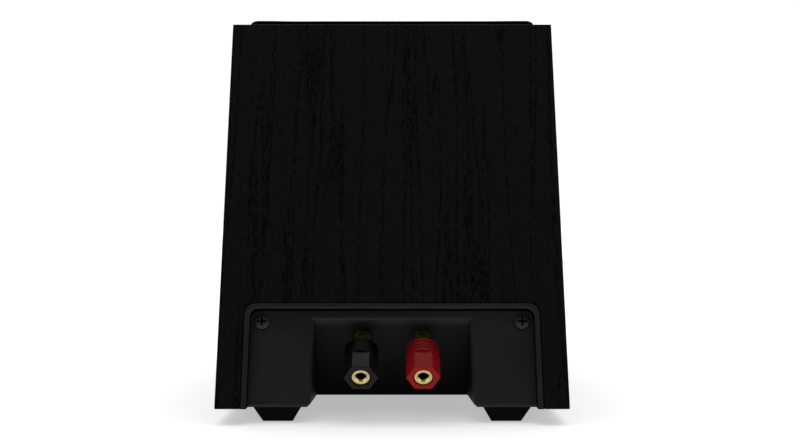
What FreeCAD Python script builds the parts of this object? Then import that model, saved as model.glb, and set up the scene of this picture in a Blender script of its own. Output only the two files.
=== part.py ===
"""A wedge-shaped bookshelf loudspeaker whose baffle faces up and forward.

The cabinet stands on four rubber feet.  Its back leans forward by rear_lean, its baffle is square to
the back, and its front panel is parallel to the back.  X runs across the cabinet, Y from the back to
the front, and Z up.  Sub-parts are made in the cabinet's frame, whose origin is the middle of the
back's bottom edge, and the whole is then moved so that its box stands on the origin.
"""
import FreeCAD, Part
import math
import os
import Sketcher
from FreeCAD import Placement, Rotation, Vector

# Driving dimensions, in millimetres and degrees.
SIZES = {
    # cabinet
    "cabinet_width": 150.0,
    "rear_height": 183.2,  # up the slope of the back
    "baffle_length": 240.0,  # down the slope of the baffle
    "rear_lean": 20.0,
    "panel_thickness": 15.0,
    "brace_thickness": 12.0,
    "brace_place": 100.0,  # down the baffle, to the brace's middle
    "brace_rail": 18.0,
    "pad_width": 100.0,
    "pad_thickness": 18.0,
    "pad_rise": 70.0,
    "pad_top_room": 43.2,  # above the pad, up the back
    "soft_gap": 0.3,
    # feet
    "foot_height": 6.7,
    "foot_top": 20.6,  # the sides of its square ends
    "foot_tip": 12.8,
    "foot_spread": 49.1,
    "foot_setback": 17.5,
    "foot_bore_radius": 4.0,
    "foot_bore_depth": 3.8,
    "foot_screw_head": 3.5,
    "foot_screw_shank": 1.7,
    "foot_screw_length": 13.0,
    # terminal cup
    "cup_width": 128.3,
    "cup_height": 46.8,
    "cup_reach": 58.0,
    "cup_rim": 2.6,
    "cup_corner": 5.0,
    "cup_inner_corner": 3.5,
    "cup_edge": 0.9,
    "cup_foot_edge": 1.2,
    "cup_depth": 5.0,  # of the plate below the rim
    "cup_plate": 2.5,
    "cup_base": 3.0,
    "cup_gap": 0.2,
    "cup_opening": 43.0,  # half the width of the hole behind the cup
    "cup_ledge": 3.7,
    "cup_relief": 4.0,  # of the back left behind the cup's gasket
    "cup_base_ledge": 8.0,
    "cup_screw_spread": 56.6,
    "cup_screw_rise": 39.3,
    "cup_screw_head": 3.35,
    "cup_screw_shank": 1.6,
    "cup_screw_length": 9.0,
    "base_screw_spread": 54.0,
    "base_screw_inset": 4.0,
    "gasket": 1.0,
    "recess_top": 40.6,
    "recess_lean": 35.0,
    "recess_half_width": 33.6,
    "recess_draft": 2.6,
    "recess_wall": 2.2,
    "recess_side": 2.2,  # room beside the recess for its draft
    "recess_blend": 2.0,
    # binding posts
    "post_spread": 13.25,
    "post_drop": 9.9,
    "stud_radius": 4.0,
    "stud_length": 26.6,
    "tail_radius": 2.0,
    "tail_length": 10.0,
    "socket_radius": 2.0,
    "socket_depth": 17.0,
    "wire_hole_radius": 1.3,
    "wire_hole_rise": 4.6,
    "nut_gap": 9.4,
    "washer_radius": 6.4,
    "washer_thickness": 0.8,
    "running_gap": 0.05,
    "collar_radius": 7.3,
    "collar_length": 7.6,
    "hex_flats": 12.7,
    "hex_length": 9.9,
    "hex_edge": 0.5,
    "nut_mouth_radius": 4.3,
    "insert_radius": 5.6,
    "insert_length": 12.0,
    "groove_depth": 0.35,
    "groove_width": 0.5,
    "lock_nut_flats": 7.0,
    "lock_nut_height": 3.0,
    "tab_thickness": 0.5,
    "tab_radius": 4.0,
    "tab_length": 12.0,
    "tab_width": 4.0,
    # drivers
    "driver_flange": 4.0,
    "driver_gap": 0.3,
    "driver_screw_head": 3.2,
    "driver_screw_shank": 1.7,
    "driver_screw_length": 12.0,
    "driver_bore_gap": 0.2,
    "screw_head_height": 2.0,
    "screw_head_edge": 1.15,
    "slot_length": 4.0,
    "slot_width": 0.9,
    "slot_depth": 1.1,
    "woofer_place": 160.0,
    "woofer_radius": 57.0,
    "woofer_hole_inset": 8.0,
    "screw_inset": 4.0,
    "basket_step_inset": 8.5,
    "basket_ledge_width": 3.5,
    "basket_ledge_depth": 1.6,
    "basket_wall": 1.9,
    "spider_depth": 27.0,
    "spider_inset": 8.7,
    "spider_lip": 5.3,
    "spider_sheet": 0.6,
    "basket_depth": 40.0,
    "basket_floor": 2.0,
    "basket_hole": 18.0,
    "basket_window": 16.0,
    "surround_sheet": 0.6,
    "surround_width": 6.4,
    "cone_rim": 1.6,
    "cone_depth": 18.0,
    "cone_sheet": 0.9,
    "cap_radius": 15.0,
    "cap_rise": 5.4,
    "coil_radius": 12.5,
    "coil_wall": 0.4,
    "winding_wall": 0.6,
    "winding_height": 9.0,
    "coil_top": 19.0,
    "coil_bottom": 47.0,
    "pole_radius": 12.0,
    "gap_radius": 14.0,
    "top_plate_margin": 2.0,
    "top_plate_height": 5.0,
    "magnet_margin": 3.0,
    "magnet_hole": 17.0,
    "magnet_height": 12.0,
    "yoke_margin": 1.0,
    "yoke_height": 5.0,
    "vent_radius": 3.0,
    "tweeter_place": 57.0,
    "tweeter_radius": 38.0,
    "tweeter_hole": 30.0,
    "throat_radius": 14.2,
    "throat_lip": 0.8,
    "horn_radius": 29.0,
    "dome_radius": 12.9,
    "dome_rise": 3.3,
    "dome_sheet": 0.4,
    "tweeter_coil_height": 5.0,
    "tweeter_gap_radius": 13.3,
    "tweeter_plate_radius": 24.0,
    "tweeter_plate_height": 4.0,
    "tweeter_magnet_radius": 25.0,
    "tweeter_magnet_hole": 16.0,
    "tweeter_magnet_height": 5.0,
    "tweeter_yoke_height": 3.0,
    "tag_length": 14.0,
    "tag_height": 5.0,
    "tag_thickness": 2.0,
    # crossover and leads
    "board_width": 90.0,
    "board_length": 44.0,
    "board_thickness": 1.6,
    "board_place": 58.0,
    "standoff_height": 6.0,
    "standoff_radius": 3.0,
    "standoff_inset": 5.0,
    "inductor_radius": 15.0,
    "inductor_hole": 7.0,
    "inductor_height": 14.0,
    "capacitor_radius": 7.5,
    "capacitor_length": 30.0,
    "resistor_length": 26.0,
    "resistor_width": 8.0,
    "lead_radius": 1.0,
    # grille
    "grille_inset": 7.0,
    "grille_height": 6.2,
    "grille_gap": 0.2,
    "grille_rail": 9.0,
    "grille_bar": 10.0,
    "grille_corner": 4.0,
    "grille_edge": 1.2,
    "cloth_thickness": 0.6,
    "disc_radius": 4.0,
    "disc_thickness": 3.0,
}

doc = FreeCAD.newDocument("bookshelf_speaker")
sheet = doc.addObject("Spreadsheet::Sheet", "size")
for row, (alias, number) in enumerate(SIZES.items(), start=1):
    sheet.set(f"A{row}", alias)
    sheet.set(f"B{row}", str(number))
    sheet.setAlias(f"B{row}", alias)
doc.recompute()

subparts = {}

# Lines of the cabinet's profile, as expressions of the sheet.
TOP_Y = "(size.rear_height * sin(size.rear_lean))"
TOP_Z = "(size.rear_height * cos(size.rear_lean))"
FRONT_Y = f"({TOP_Y} + size.baffle_length * cos(size.rear_lean))"
FRONT_Z = f"({TOP_Z} - size.baffle_length * sin(size.rear_lean))"
FRONT_HEIGHT = f"({FRONT_Z} / cos(size.rear_lean))"
BOTTOM_LENGTH = f"({FRONT_Y} - {FRONT_HEIGHT} * sin(size.rear_lean))"
BACK_CORNER = "(90 - size.rear_lean)"
FRONT_CORNER = "(90 + size.rear_lean)"


# ---------------------------------------------------------------- helpers

def value(expression):
    """The number that an expression of the sheet's sizes gives."""
    result = sheet.evalExpression(expression)
    return float(getattr(result, "Value", result))


def up_panel(rise, depth):
    """The profile point that is rise up the back's outer face and depth inside it."""
    across = f"(({rise}) * sin(size.rear_lean) + ({depth}) * cos(size.rear_lean))"
    height = f"(({rise}) * cos(size.rear_lean) - ({depth}) * sin(size.rear_lean))"
    return across, height


def down_floor(drop, depth):
    """The profile point that is drop down the recess floor and depth behind it."""
    start_y, start_z = up_panel("size.recess_top", "size.cup_depth")
    across = f"({start_y} + ({drop}) * sin(size.recess_lean) + ({depth}) * cos(size.recess_lean))"
    height = f"({start_z} - ({drop}) * cos(size.recess_lean) + ({depth}) * sin(size.recess_lean))"
    return across, height


def frame_at(across, height, angle):
    """A frame at a profile point, turned about X by an angle in degrees."""
    return Placement(Vector(0, value(across), value(height)), Rotation(Vector(1, 0, 0), angle))


def shifted(frame, x, y, z):
    """A frame moved along its own axes."""
    return frame.multiply(Placement(Vector(x, y, z), Rotation()))


def new_body(label):
    """An empty body that becomes one sub-part."""
    body = doc.addObject("PartDesign::Body", label)
    body.Label = label
    return body


def keep(made, label, frame=None):
    """Lists an object as a sub-part and puts it in its frame."""
    made.Label = label
    if frame is not None:
        made.Placement = frame
    subparts[label] = made
    return made


def new_sketch(body, plane, offset=None):
    """A sketch on one of the body's own origin planes, moved by an offset."""
    made = body.newObject("Sketcher::SketchObject", f"{body.Name}_sketch")
    support = [feature for feature in body.Origin.OriginFeatures if feature.Role == plane][0]
    made.AttachmentSupport = [(support, "")]
    made.MapMode = "FlatFace"
    if offset is not None:
        made.AttachmentOffset = offset
    return made


def pin(sketch, geometry, point, x, y):
    """Holds one point of a sketch at a place given by two expressions."""
    for kind, expression in (("DistanceX", x), ("DistanceY", y)):
        held = Sketcher.Constraint(kind, -1, 1, geometry, point, value(expression))
        index = sketch.addConstraint(held)
        sketch.setExpression(f"Constraints[{index}]", expression)


def outline(sketch, corners):
    """A closed outline.  A corner is (x, y), or (x, y, arc_x, arc_y) where an arc leads to it."""
    count = len(corners)
    first = sketch.GeometryCount
    places = [Vector(value(corner[0]), value(corner[1]), 0) for corner in corners]
    ends = []
    for k in range(count):
        start = places[k - 1]
        end = places[k]
        if len(corners[k]) == 2:
            sketch.addGeometry(Part.LineSegment(start, end), False)
            ends.append((1, 2))
        else:
            middle = Vector(value(corners[k][2]), value(corners[k][3]), 0)
            curve = Part.Arc(start, middle, end)
            sketch.addGeometry(curve, False)
            drawn = sketch.getPoint(first + k, 1)
            ends.append((1, 2) if drawn.distanceToPoint(start) < drawn.distanceToPoint(end) else (2, 1))
    for k in range(count):
        following = (k + 1) % count
        held = (first + k, ends[k][1], first + following, ends[following][0])
        sketch.addConstraint(Sketcher.Constraint("Coincident", *held))
    for k, corner in enumerate(corners):
        pin(sketch, first + k, ends[k][1], corner[0], corner[1])
        if len(corner) == 4:
            through = sketch.addGeometry(Part.Point(Vector(value(corner[2]), value(corner[3]), 0)), True)
            pin(sketch, through, 1, corner[2], corner[3])
            sketch.addConstraint(Sketcher.Constraint("PointOnObject", through, 1, first + k))


def rectangle(sketch, left, low, right, high):
    """A rectangle between two corners given by expressions."""
    outline(sketch, [(left, low), (right, low), (right, high), (left, high)])


def circles(sketch, centres, radius):
    """Equal circles at places given by pairs of expressions."""
    for x, y in centres:
        drawn = Part.Circle(Vector(value(x), value(y), 0), Vector(0, 0, 1), value(radius))
        geometry = sketch.addGeometry(drawn, False)
        pin(sketch, geometry, 3, x, y)
        index = sketch.addConstraint(Sketcher.Constraint("Radius", geometry, value(radius)))
        sketch.setExpression(f"Constraints[{index}]", radius)


def extrude(body, kind, sketch, length, both_sides=False, reverse=False, taper=None):
    """A Pad or Pocket of a sketch, whose length is an expression."""
    feature = body.newObject(f"PartDesign::{kind}", f"{body.Name}_{kind.lower()}")
    feature.Profile = sketch
    feature.setExpression("Length", length)
    if both_sides:
        feature.SideType = "Symmetric"
    feature.Reversed = reverse
    if taper is not None:
        feature.setExpression("TaperAngle", taper)
    return feature


def pad(body, sketch, length, **options):
    """Adds the sketch's area over a length."""
    return extrude(body, "Pad", sketch, length, **options)


def pocket(body, sketch, length, **options):
    """Removes the sketch's area over a length, and checks that it took something away."""
    doc.recompute()
    before = body.Shape.Volume
    feature = extrude(body, "Pocket", sketch, length, **options)
    doc.recompute()
    if body.Shape.Volume >= before:
        raise RuntimeError(f"a pocket of {body.Label} cuts nothing")
    return feature


def dress(body, kind, size, test):
    """A Fillet or Chamfer on the body's edges that pass a test."""
    doc.recompute()
    base = body.Tip
    names = [f"Edge{k}" for k, edge in enumerate(base.Shape.Edges, start=1) if test(edge)]
    if not names:
        raise RuntimeError(f"a {kind} of {body.Label} finds no edge")
    feature = body.newObject(f"PartDesign::{kind}", f"{body.Name}_{kind.lower()}")
    feature.Base = (base, names)
    feature.setExpression("Radius" if kind == "Fillet" else "Size", size)
    return feature


def near(number, target, slack=0.02):
    """Whether two numbers are the same within a slack."""
    return abs(number - target) < slack


def same_side(ends):
    """Whether an edge has two ends at the same place across the cabinet."""
    return len(ends) == 2 and near(ends[0].x, ends[1].x)


def crown_point(radius, low, high):
    """A point midway along the sphere's arc that rises from low at a radius to high on the axis."""
    rise = f"(({high}) - ({low}))"
    sphere = f"((({radius})^2 + {rise}^2) / (2 * {rise}))"
    half_angle = f"(asin(({radius}) / {sphere}) / 2)"
    return f"({sphere} * sin({half_angle}))", f"(({high}) - {sphere} * (1 - cos({half_angle})))"


def turn(body, corners):
    """Adds a profile of (radius, height) corners turned about the body's own Z axis."""
    profile = new_sketch(body, "XZ_Plane")
    outline(profile, corners)
    feature = body.newObject("PartDesign::Revolution", f"{body.Name}_turn")
    feature.Profile = profile
    feature.ReferenceAxis = (profile, ["V_Axis"])
    feature.Angle = 360
    doc.recompute()


def turned(label, corners, frame=None):
    """A body that is one turned profile, in its frame."""
    body = new_body(label)
    turn(body, corners)
    if frame is not None:
        body.Placement = frame
    return body


def ring(label, inner, outer, low, high, frame):
    """A plain ring or tube about a frame's Z axis, kept as a sub-part."""
    corners = [(inner, low), (outer, low), (outer, high), (inner, high)]
    return keep(turned(label, corners, frame), label)


def group(label, pattern, frames):
    """Equal separate solids, kept as one sub-part: copies of a pattern in several frames."""
    copies = []
    for frame in frames:
        copy = pattern.Shape.copy()
        copy.Placement = frame.multiply(copy.Placement)
        copies.append(copy)
    made = doc.addObject("Part::Feature", label)
    made.Shape = Part.makeCompound(copies)
    return keep(made, label)


def mirrored_pairs(across, along):
    """Two places at plus and minus an expression across."""
    return [(f"-({across})", along), (across, along)]


# ---------------------------------------------------------------- frames

WOOFER_HOLE = "(size.woofer_radius - size.woofer_hole_inset)"
WOOFER_SCREWS = "(size.woofer_radius - size.screw_inset)"
TWEETER_SCREWS = "(size.tweeter_radius - size.screw_inset)"
BASKET_STEP = "(size.woofer_radius - size.basket_step_inset)"
BASKET_LEDGE = f"({BASKET_STEP} - size.basket_ledge_width)"
CONE_RADIUS = f"({BASKET_LEDGE} - size.surround_width)"
SPIDER_OUTER = f"({BASKET_LEDGE} - size.spider_inset)"
SPIDER_SEAT = f"({SPIDER_OUTER} - size.spider_lip)"
TOP_PLATE_RADIUS = f"({SPIDER_SEAT} + size.top_plate_margin)"
MAGNET_RADIUS = f"({TOP_PLATE_RADIUS} + size.magnet_margin)"
YOKE_RADIUS = f"({TOP_PLATE_RADIUS} + size.yoke_margin)"
PAD_LENGTH = "(size.rear_height - size.pad_rise - size.pad_top_room)"
TWEETER_STACK = "(size.tweeter_plate_height + size.tweeter_magnet_height + size.tweeter_yoke_height)"
DRIVER_FLOOR = f"(-size.driver_flange - {TWEETER_STACK})"

REAR_TURN = 90 - value("size.rear_lean")
FLOOR_TURN = 90 + value("size.recess_lean")
REAR = frame_at("0", "0", REAR_TURN)
BAFFLE = frame_at(TOP_Y, TOP_Z, -value("size.rear_lean"))
FRONT = frame_at(FRONT_Y, FRONT_Z, -90 - value("size.rear_lean"))
BOTTOM = frame_at(BOTTOM_LENGTH, "0", 180)
RECESS_FLOOR = frame_at(*down_floor("0", "0"), FLOOR_TURN)
RECESS_SECTION = frame_at(*down_floor("0", "0"), FLOOR_TURN + 90)
WOOFER = shifted(BAFFLE, 0, value("size.woofer_place"), 0)
TWEETER = shifted(BAFFLE, 0, value("size.tweeter_place"), 0)


FLOOR_RUN = f"({down_floor('0', 'size.recess_wall')[1]} / cos(size.recess_lean))"
CUP_HALF = "(size.cup_width / 2)"
PLATE_BACK = "(size.cup_depth + size.cup_plate)"
CUP_SCREWS = mirrored_pairs("size.cup_screw_spread", "size.cup_screw_rise")


def base_corner(depth, height):
    """The profile point where a plane inside the back meets a height above the bottom."""
    return f"(({depth} + {height} * sin(size.rear_lean)) / cos(size.rear_lean))", height


# ---------------------------------------------------------------- cabinet

def mitred_panel(label, frame, length, start_corner, end_corner):
    """A panel whose four edges are mitred; its frame's Z points out of the cabinet."""
    body = new_body(label)
    outer = new_sketch(body, "XY_Plane")
    rectangle(outer, "-size.cabinet_width / 2", "0", "size.cabinet_width / 2", length)
    inner = new_sketch(body, "XY_Plane", Placement())
    inner.setExpression("AttachmentOffset.Base.z", "-size.panel_thickness")
    half = "(size.cabinet_width / 2 - size.panel_thickness)"
    low = f"(size.panel_thickness / tan({start_corner} / 2))"
    high = f"({length} - size.panel_thickness / tan({end_corner} / 2))"
    rectangle(inner, f"-{half}", low, half, high)
    loft = body.newObject("PartDesign::AdditiveLoft", f"{label}_loft")
    loft.Profile = outer
    loft.Sections = [inner]
    loft.Ruled = True
    doc.recompute()
    return keep(body, label, frame)


def make_side_panel(label, side):
    """A mitred side panel; side is -1 for the left and 1 for the right."""
    body = new_body(label)
    profile = new_sketch(body, "YZ_Plane", Placement())
    profile.setExpression("AttachmentOffset.Base.z", f"{side} * size.cabinet_width / 2")
    outline(profile, [("0", "0"), (BOTTOM_LENGTH, "0"), (FRONT_Y, FRONT_Z), (TOP_Y, TOP_Z)])
    pad(body, profile, "size.panel_thickness", reverse=side > 0, taper="-45")
    keep(body, label)


def make_rear_panel():
    """The back, with a stepped opening for the terminal cup."""
    body = mitred_panel("rear_panel", REAR, "size.rear_height", BACK_CORNER, "90")
    step = new_sketch(body, "XY_Plane")
    half = "(size.cup_width / 2 + size.cup_gap)"
    top = "(size.cup_height + size.cup_gap)"
    rectangle(step, f"-{half}", "-size.cup_depth", half, top)
    pocket(body, step, "size.cup_depth + size.cup_plate + size.gasket")

    def is_step_corner(edge):
        ends = [vertex.Point for vertex in edge.Vertexes]
        return same_side(ends) and all(
            near(abs(end.x), value(half)) and near(end.y, value(top)) for end in ends
        )

    dress(body, "Fillet", "size.cup_corner + size.cup_gap", is_step_corner)
    opening = new_sketch(body, "XY_Plane")
    rectangle(opening, "-size.cup_opening", "-size.cup_depth", "size.cup_opening",
              "size.cup_height - size.cup_ledge")
    pocket(body, opening, "size.panel_thickness * 2")
    relief = new_sketch(body, "XY_Plane", Placement())
    relief.setExpression("AttachmentOffset.Base.z", f"-({PLATE_BACK} + size.gasket + size.cup_relief)")
    rectangle(relief, "-size.cup_opening", "size.cup_depth",
              "size.cup_opening", "size.cup_height + size.cup_rim")
    pocket(body, relief, "size.panel_thickness")
    pilots = new_sketch(body, "XY_Plane")
    circles(pilots, CUP_SCREWS, "size.cup_screw_shank")
    pocket(body, pilots, "size.cup_depth + size.cup_screw_length + size.cup_gap")


def make_bottom_panel():
    """The bottom, stepped for the cup's base and drilled for the feet."""
    body = mitred_panel("bottom_panel", BOTTOM, BOTTOM_LENGTH, FRONT_CORNER, BACK_CORNER)
    step = new_sketch(body, "XY_Plane")
    half = "(size.cup_width / 2 + size.cup_gap)"
    end = f"({BOTTOM_LENGTH} + size.cup_depth)"
    rectangle(step, f"-{half}", f"{BOTTOM_LENGTH} - size.cup_reach - size.cup_gap", half, end)
    pocket(body, step, "size.cup_base + size.gasket")
    depth = f"({PLATE_BACK} + size.gasket)"
    corner = new_sketch(body, "YZ_Plane")
    outline(corner, [
        (f"{BOTTOM_LENGTH} - {y}", f"-{z}")
        for y, z in (
            base_corner("0", "0"),
            base_corner(depth, "0"),
            base_corner(depth, "size.panel_thickness"),
            base_corner("0", "size.panel_thickness"),
        )
    ])
    pocket(body, corner, f"2 * {half}", both_sides=True)
    opening = new_sketch(body, "XY_Plane")
    rectangle(opening, "-size.cup_opening", f"{BOTTOM_LENGTH} - size.cup_reach + size.cup_base_ledge",
              "size.cup_opening", end)
    pocket(body, opening, "size.panel_thickness * 2")
    pilots = new_sketch(body, "XY_Plane")
    place = f"({BOTTOM_LENGTH} - size.cup_reach + size.base_screw_inset)"
    circles(pilots, mirrored_pairs("size.base_screw_spread", place), "size.cup_screw_shank")
    pocket(body, pilots, "size.cup_screw_length + size.cup_gap")
    foot_pilots = new_sketch(body, "XY_Plane")
    for place in ("size.foot_setback", f"({BOTTOM_LENGTH} - size.foot_setback)"):
        circles(foot_pilots, mirrored_pairs("size.foot_spread", place), "size.foot_screw_shank")
    drilled = "size.foot_screw_length - size.foot_height + size.foot_bore_depth + size.cup_gap"
    pocket(body, foot_pilots, drilled)


def grille_disc_places():
    """The four places of the grille's magnets, in the baffle's frame."""
    inset = "(size.grille_inset + size.cloth_thickness + size.grille_rail / 2)"
    across = f"(size.cabinet_width / 2 - {inset})"
    places = []
    for along in (inset, f"(size.baffle_length - {inset})"):
        places += mirrored_pairs(across, along)
    return places


def screw_circle(centre, radius):
    """Four screw places on a circle about a driver's centre, on its diagonals."""
    reach = f"({radius} * sin(45))"
    return [
        place
        for along in (f"({centre} - {reach})", f"({centre} + {reach})")
        for place in mirrored_pairs(reach, along)
    ]


def make_baffle_panel():
    """The sloping baffle, cut out for the two drivers and the grille's magnets."""
    body = mitred_panel("baffle_panel", BAFFLE, "size.baffle_length", "90", "90")
    for place, outer, hole in (
        ("size.woofer_place", "size.woofer_radius", WOOFER_HOLE),
        ("size.tweeter_place", "size.tweeter_radius", "size.tweeter_hole"),
    ):
        rebate = new_sketch(body, "XY_Plane")
        circles(rebate, [("0", place)], f"{outer} + size.driver_gap")
        pocket(body, rebate, "size.driver_flange")
        through = new_sketch(body, "XY_Plane")
        circles(through, [("0", place)], hole)
        pocket(body, through, "size.panel_thickness * 2")
    pilots = new_sketch(body, "XY_Plane")
    circles(pilots, driver_screw_places(), "size.driver_screw_shank")
    pocket(body, pilots, "size.screw_head_height + size.driver_screw_length + size.driver_bore_gap")
    discs = new_sketch(body, "XY_Plane")
    circles(discs, grille_disc_places(), "size.disc_radius")
    pocket(body, discs, "size.disc_thickness")


def driver_screw_places():
    """The places of all the screws that hold the two drivers."""
    woofer = screw_circle("size.woofer_place", WOOFER_SCREWS)
    tweeter = screw_circle("size.tweeter_place", TWEETER_SCREWS)
    return woofer + tweeter


def make_brace():
    """A window brace across the cabinet, square to the baffle."""
    body = new_body("cabinet_brace")
    profile = new_sketch(body, "YZ_Plane")
    rear = "(size.brace_place - size.brace_thickness / 2)"
    front = "(size.brace_place + size.brace_thickness / 2)"

    def floor_below(place):
        drop = f"({TOP_Z} - size.panel_thickness - {place} * sin(size.rear_lean))"
        return f"(-{drop} / cos(size.rear_lean))"

    roof = "-size.panel_thickness"
    outline(profile, [(rear, roof), (rear, floor_below(rear)), (front, floor_below(front)), (front, roof)])
    pad(body, profile, "size.cabinet_width - 2 * size.panel_thickness", both_sides=True)
    window = new_sketch(body, "XZ_Plane")
    half = "(size.cabinet_width / 2 - size.panel_thickness - size.brace_rail)"
    rectangle(window, f"-{half}", f"{floor_below(front)} + size.brace_rail",
              half, f"{roof} - size.brace_rail")
    pocket(body, window, "(size.brace_place + size.brace_thickness) * 2", both_sides=True)
    keep(body, "cabinet_brace", BAFFLE)


def make_acoustic_pad():
    """The wadding pad behind the back panel, a little clear of it."""
    block = doc.addObject("Part::Box", "acoustic_pad")
    block.setExpression("Length", "size.pad_width")
    block.setExpression("Width", PAD_LENGTH)
    block.setExpression("Height", "size.pad_thickness")
    depth = value("size.panel_thickness + size.soft_gap + size.pad_thickness")
    frame = shifted(REAR, -value("size.pad_width") / 2, value("size.pad_rise"), -depth)
    keep(block, "acoustic_pad", frame)


# ---------------------------------------------------------------- fasteners

def screw_pattern(label, head, shank, length):
    """A domed cross-head screw; its head sits on z = 0 and its shank runs down."""
    top = "size.screw_head_height"
    corners = [
        ("0", f"-{length}"),
        (f"{shank} * 0.4", f"-{length}"),
        (shank, f"-{length} + {shank}"),
        (shank, "0"),
        (head, "0"),
        (head, "size.screw_head_edge"),
        ("0", top, *crown_point(head, "size.screw_head_edge", top)),
    ]
    body = turned(label, corners)
    cross = new_sketch(body, "XY_Plane", Placement())
    cross.setExpression("AttachmentOffset.Base.z", top)
    arm = "(size.slot_length / 2)"
    half = "(size.slot_width / 2)"
    outline(cross, [
        (arm, half), (half, half), (half, arm), (f"-{half}", arm), (f"-{half}", half), (f"-{arm}", half),
        (f"-{arm}", f"-{half}"), (f"-{half}", f"-{half}"), (f"-{half}", f"-{arm}"), (half, f"-{arm}"),
        (half, f"-{half}"), (arm, f"-{half}"),
    ])
    pocket(body, cross, "size.slot_depth")
    return body


def make_fasteners():
    """The screws of the cup, of the drivers and of the feet."""
    cup_screw = screw_pattern(
        "cup_screw", "size.cup_screw_head", "size.cup_screw_shank", "size.cup_screw_length"
    )
    depth = value("size.cup_depth")
    across = value("size.cup_screw_spread")
    base_across = value("size.base_screw_spread")
    base_along = value(f"{BOTTOM_LENGTH} - size.cup_reach + size.base_screw_inset")
    frames = []
    for side in (-1, 1):
        frames.append(shifted(REAR, side * across, value("size.cup_screw_rise"), -depth))
        frames.append(shifted(BOTTOM, side * base_across, base_along, 0))
    group("cup_screws", cup_screw, frames)

    driver_screw = screw_pattern(
        "driver_screw", "size.driver_screw_head", "size.driver_screw_shank", "size.driver_screw_length"
    )
    head = value("size.screw_head_height")
    frames = [shifted(BAFFLE, value(x), value(y), -head) for x, y in driver_screw_places()]
    group("driver_screws", driver_screw, frames)

    foot_screw = screw_pattern(
        "foot_screw", "size.foot_screw_head", "size.foot_screw_shank", "size.foot_screw_length"
    )
    seat = value("size.foot_height - size.foot_bore_depth")
    spread = value("size.foot_spread")
    frames = [
        shifted(BOTTOM, side * spread, along, seat)
        for side in (-1, 1)
        for along in (value("size.foot_setback"), value(f"{BOTTOM_LENGTH} - size.foot_setback"))
    ]
    group("foot_screws", foot_screw, frames)


# ---------------------------------------------------------------- feet

def make_feet():
    """Four square tapered rubber feet, bored for their screws."""
    ends = {"front": "size.foot_setback", "rear": f"({BOTTOM_LENGTH} - size.foot_setback)"}
    for end, along in ends.items():
        for side, name in ((-1, "left"), (1, "right")):
            label = f"{name}_{end}_foot"
            body = new_body(label)
            wide = new_sketch(body, "XY_Plane")
            half = "(size.foot_top / 2)"
            rectangle(wide, f"-{half}", f"-{half}", half, half)
            narrow = new_sketch(body, "XY_Plane", Placement())
            narrow.setExpression("AttachmentOffset.Base.z", "size.foot_height")
            half = "(size.foot_tip / 2)"
            rectangle(narrow, f"-{half}", f"-{half}", half, half)
            loft = body.newObject("PartDesign::AdditiveLoft", f"{label}_loft")
            loft.Profile = wide
            loft.Sections = [narrow]
            loft.Ruled = True
            for radius, depth in (
                ("size.foot_bore_radius", "size.foot_bore_depth"),
                ("size.foot_screw_shank", "2 * size.foot_height"),
            ):
                bore = new_sketch(body, "XY_Plane", Placement())
                bore.setExpression("AttachmentOffset.Base.z", "size.foot_height")
                circles(bore, [("0", "0")], radius)
                pocket(body, bore, depth)
            keep(body, label, shifted(BOTTOM, side * value("size.foot_spread"), value(along), 0))


# ---------------------------------------------------------------- terminal cup

def panel_depth(point):
    """How far a point of the cabinet's frame is inside the back's outer face."""
    lean = math.radians(value("size.rear_lean"))
    return point.y * math.cos(lean) - point.z * math.sin(lean)


def panel_rise(point):
    """How far up the back's slope a point of the cabinet's frame is."""
    lean = math.radians(value("size.rear_lean"))
    return point.y * math.sin(lean) + point.z * math.cos(lean)


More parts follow.
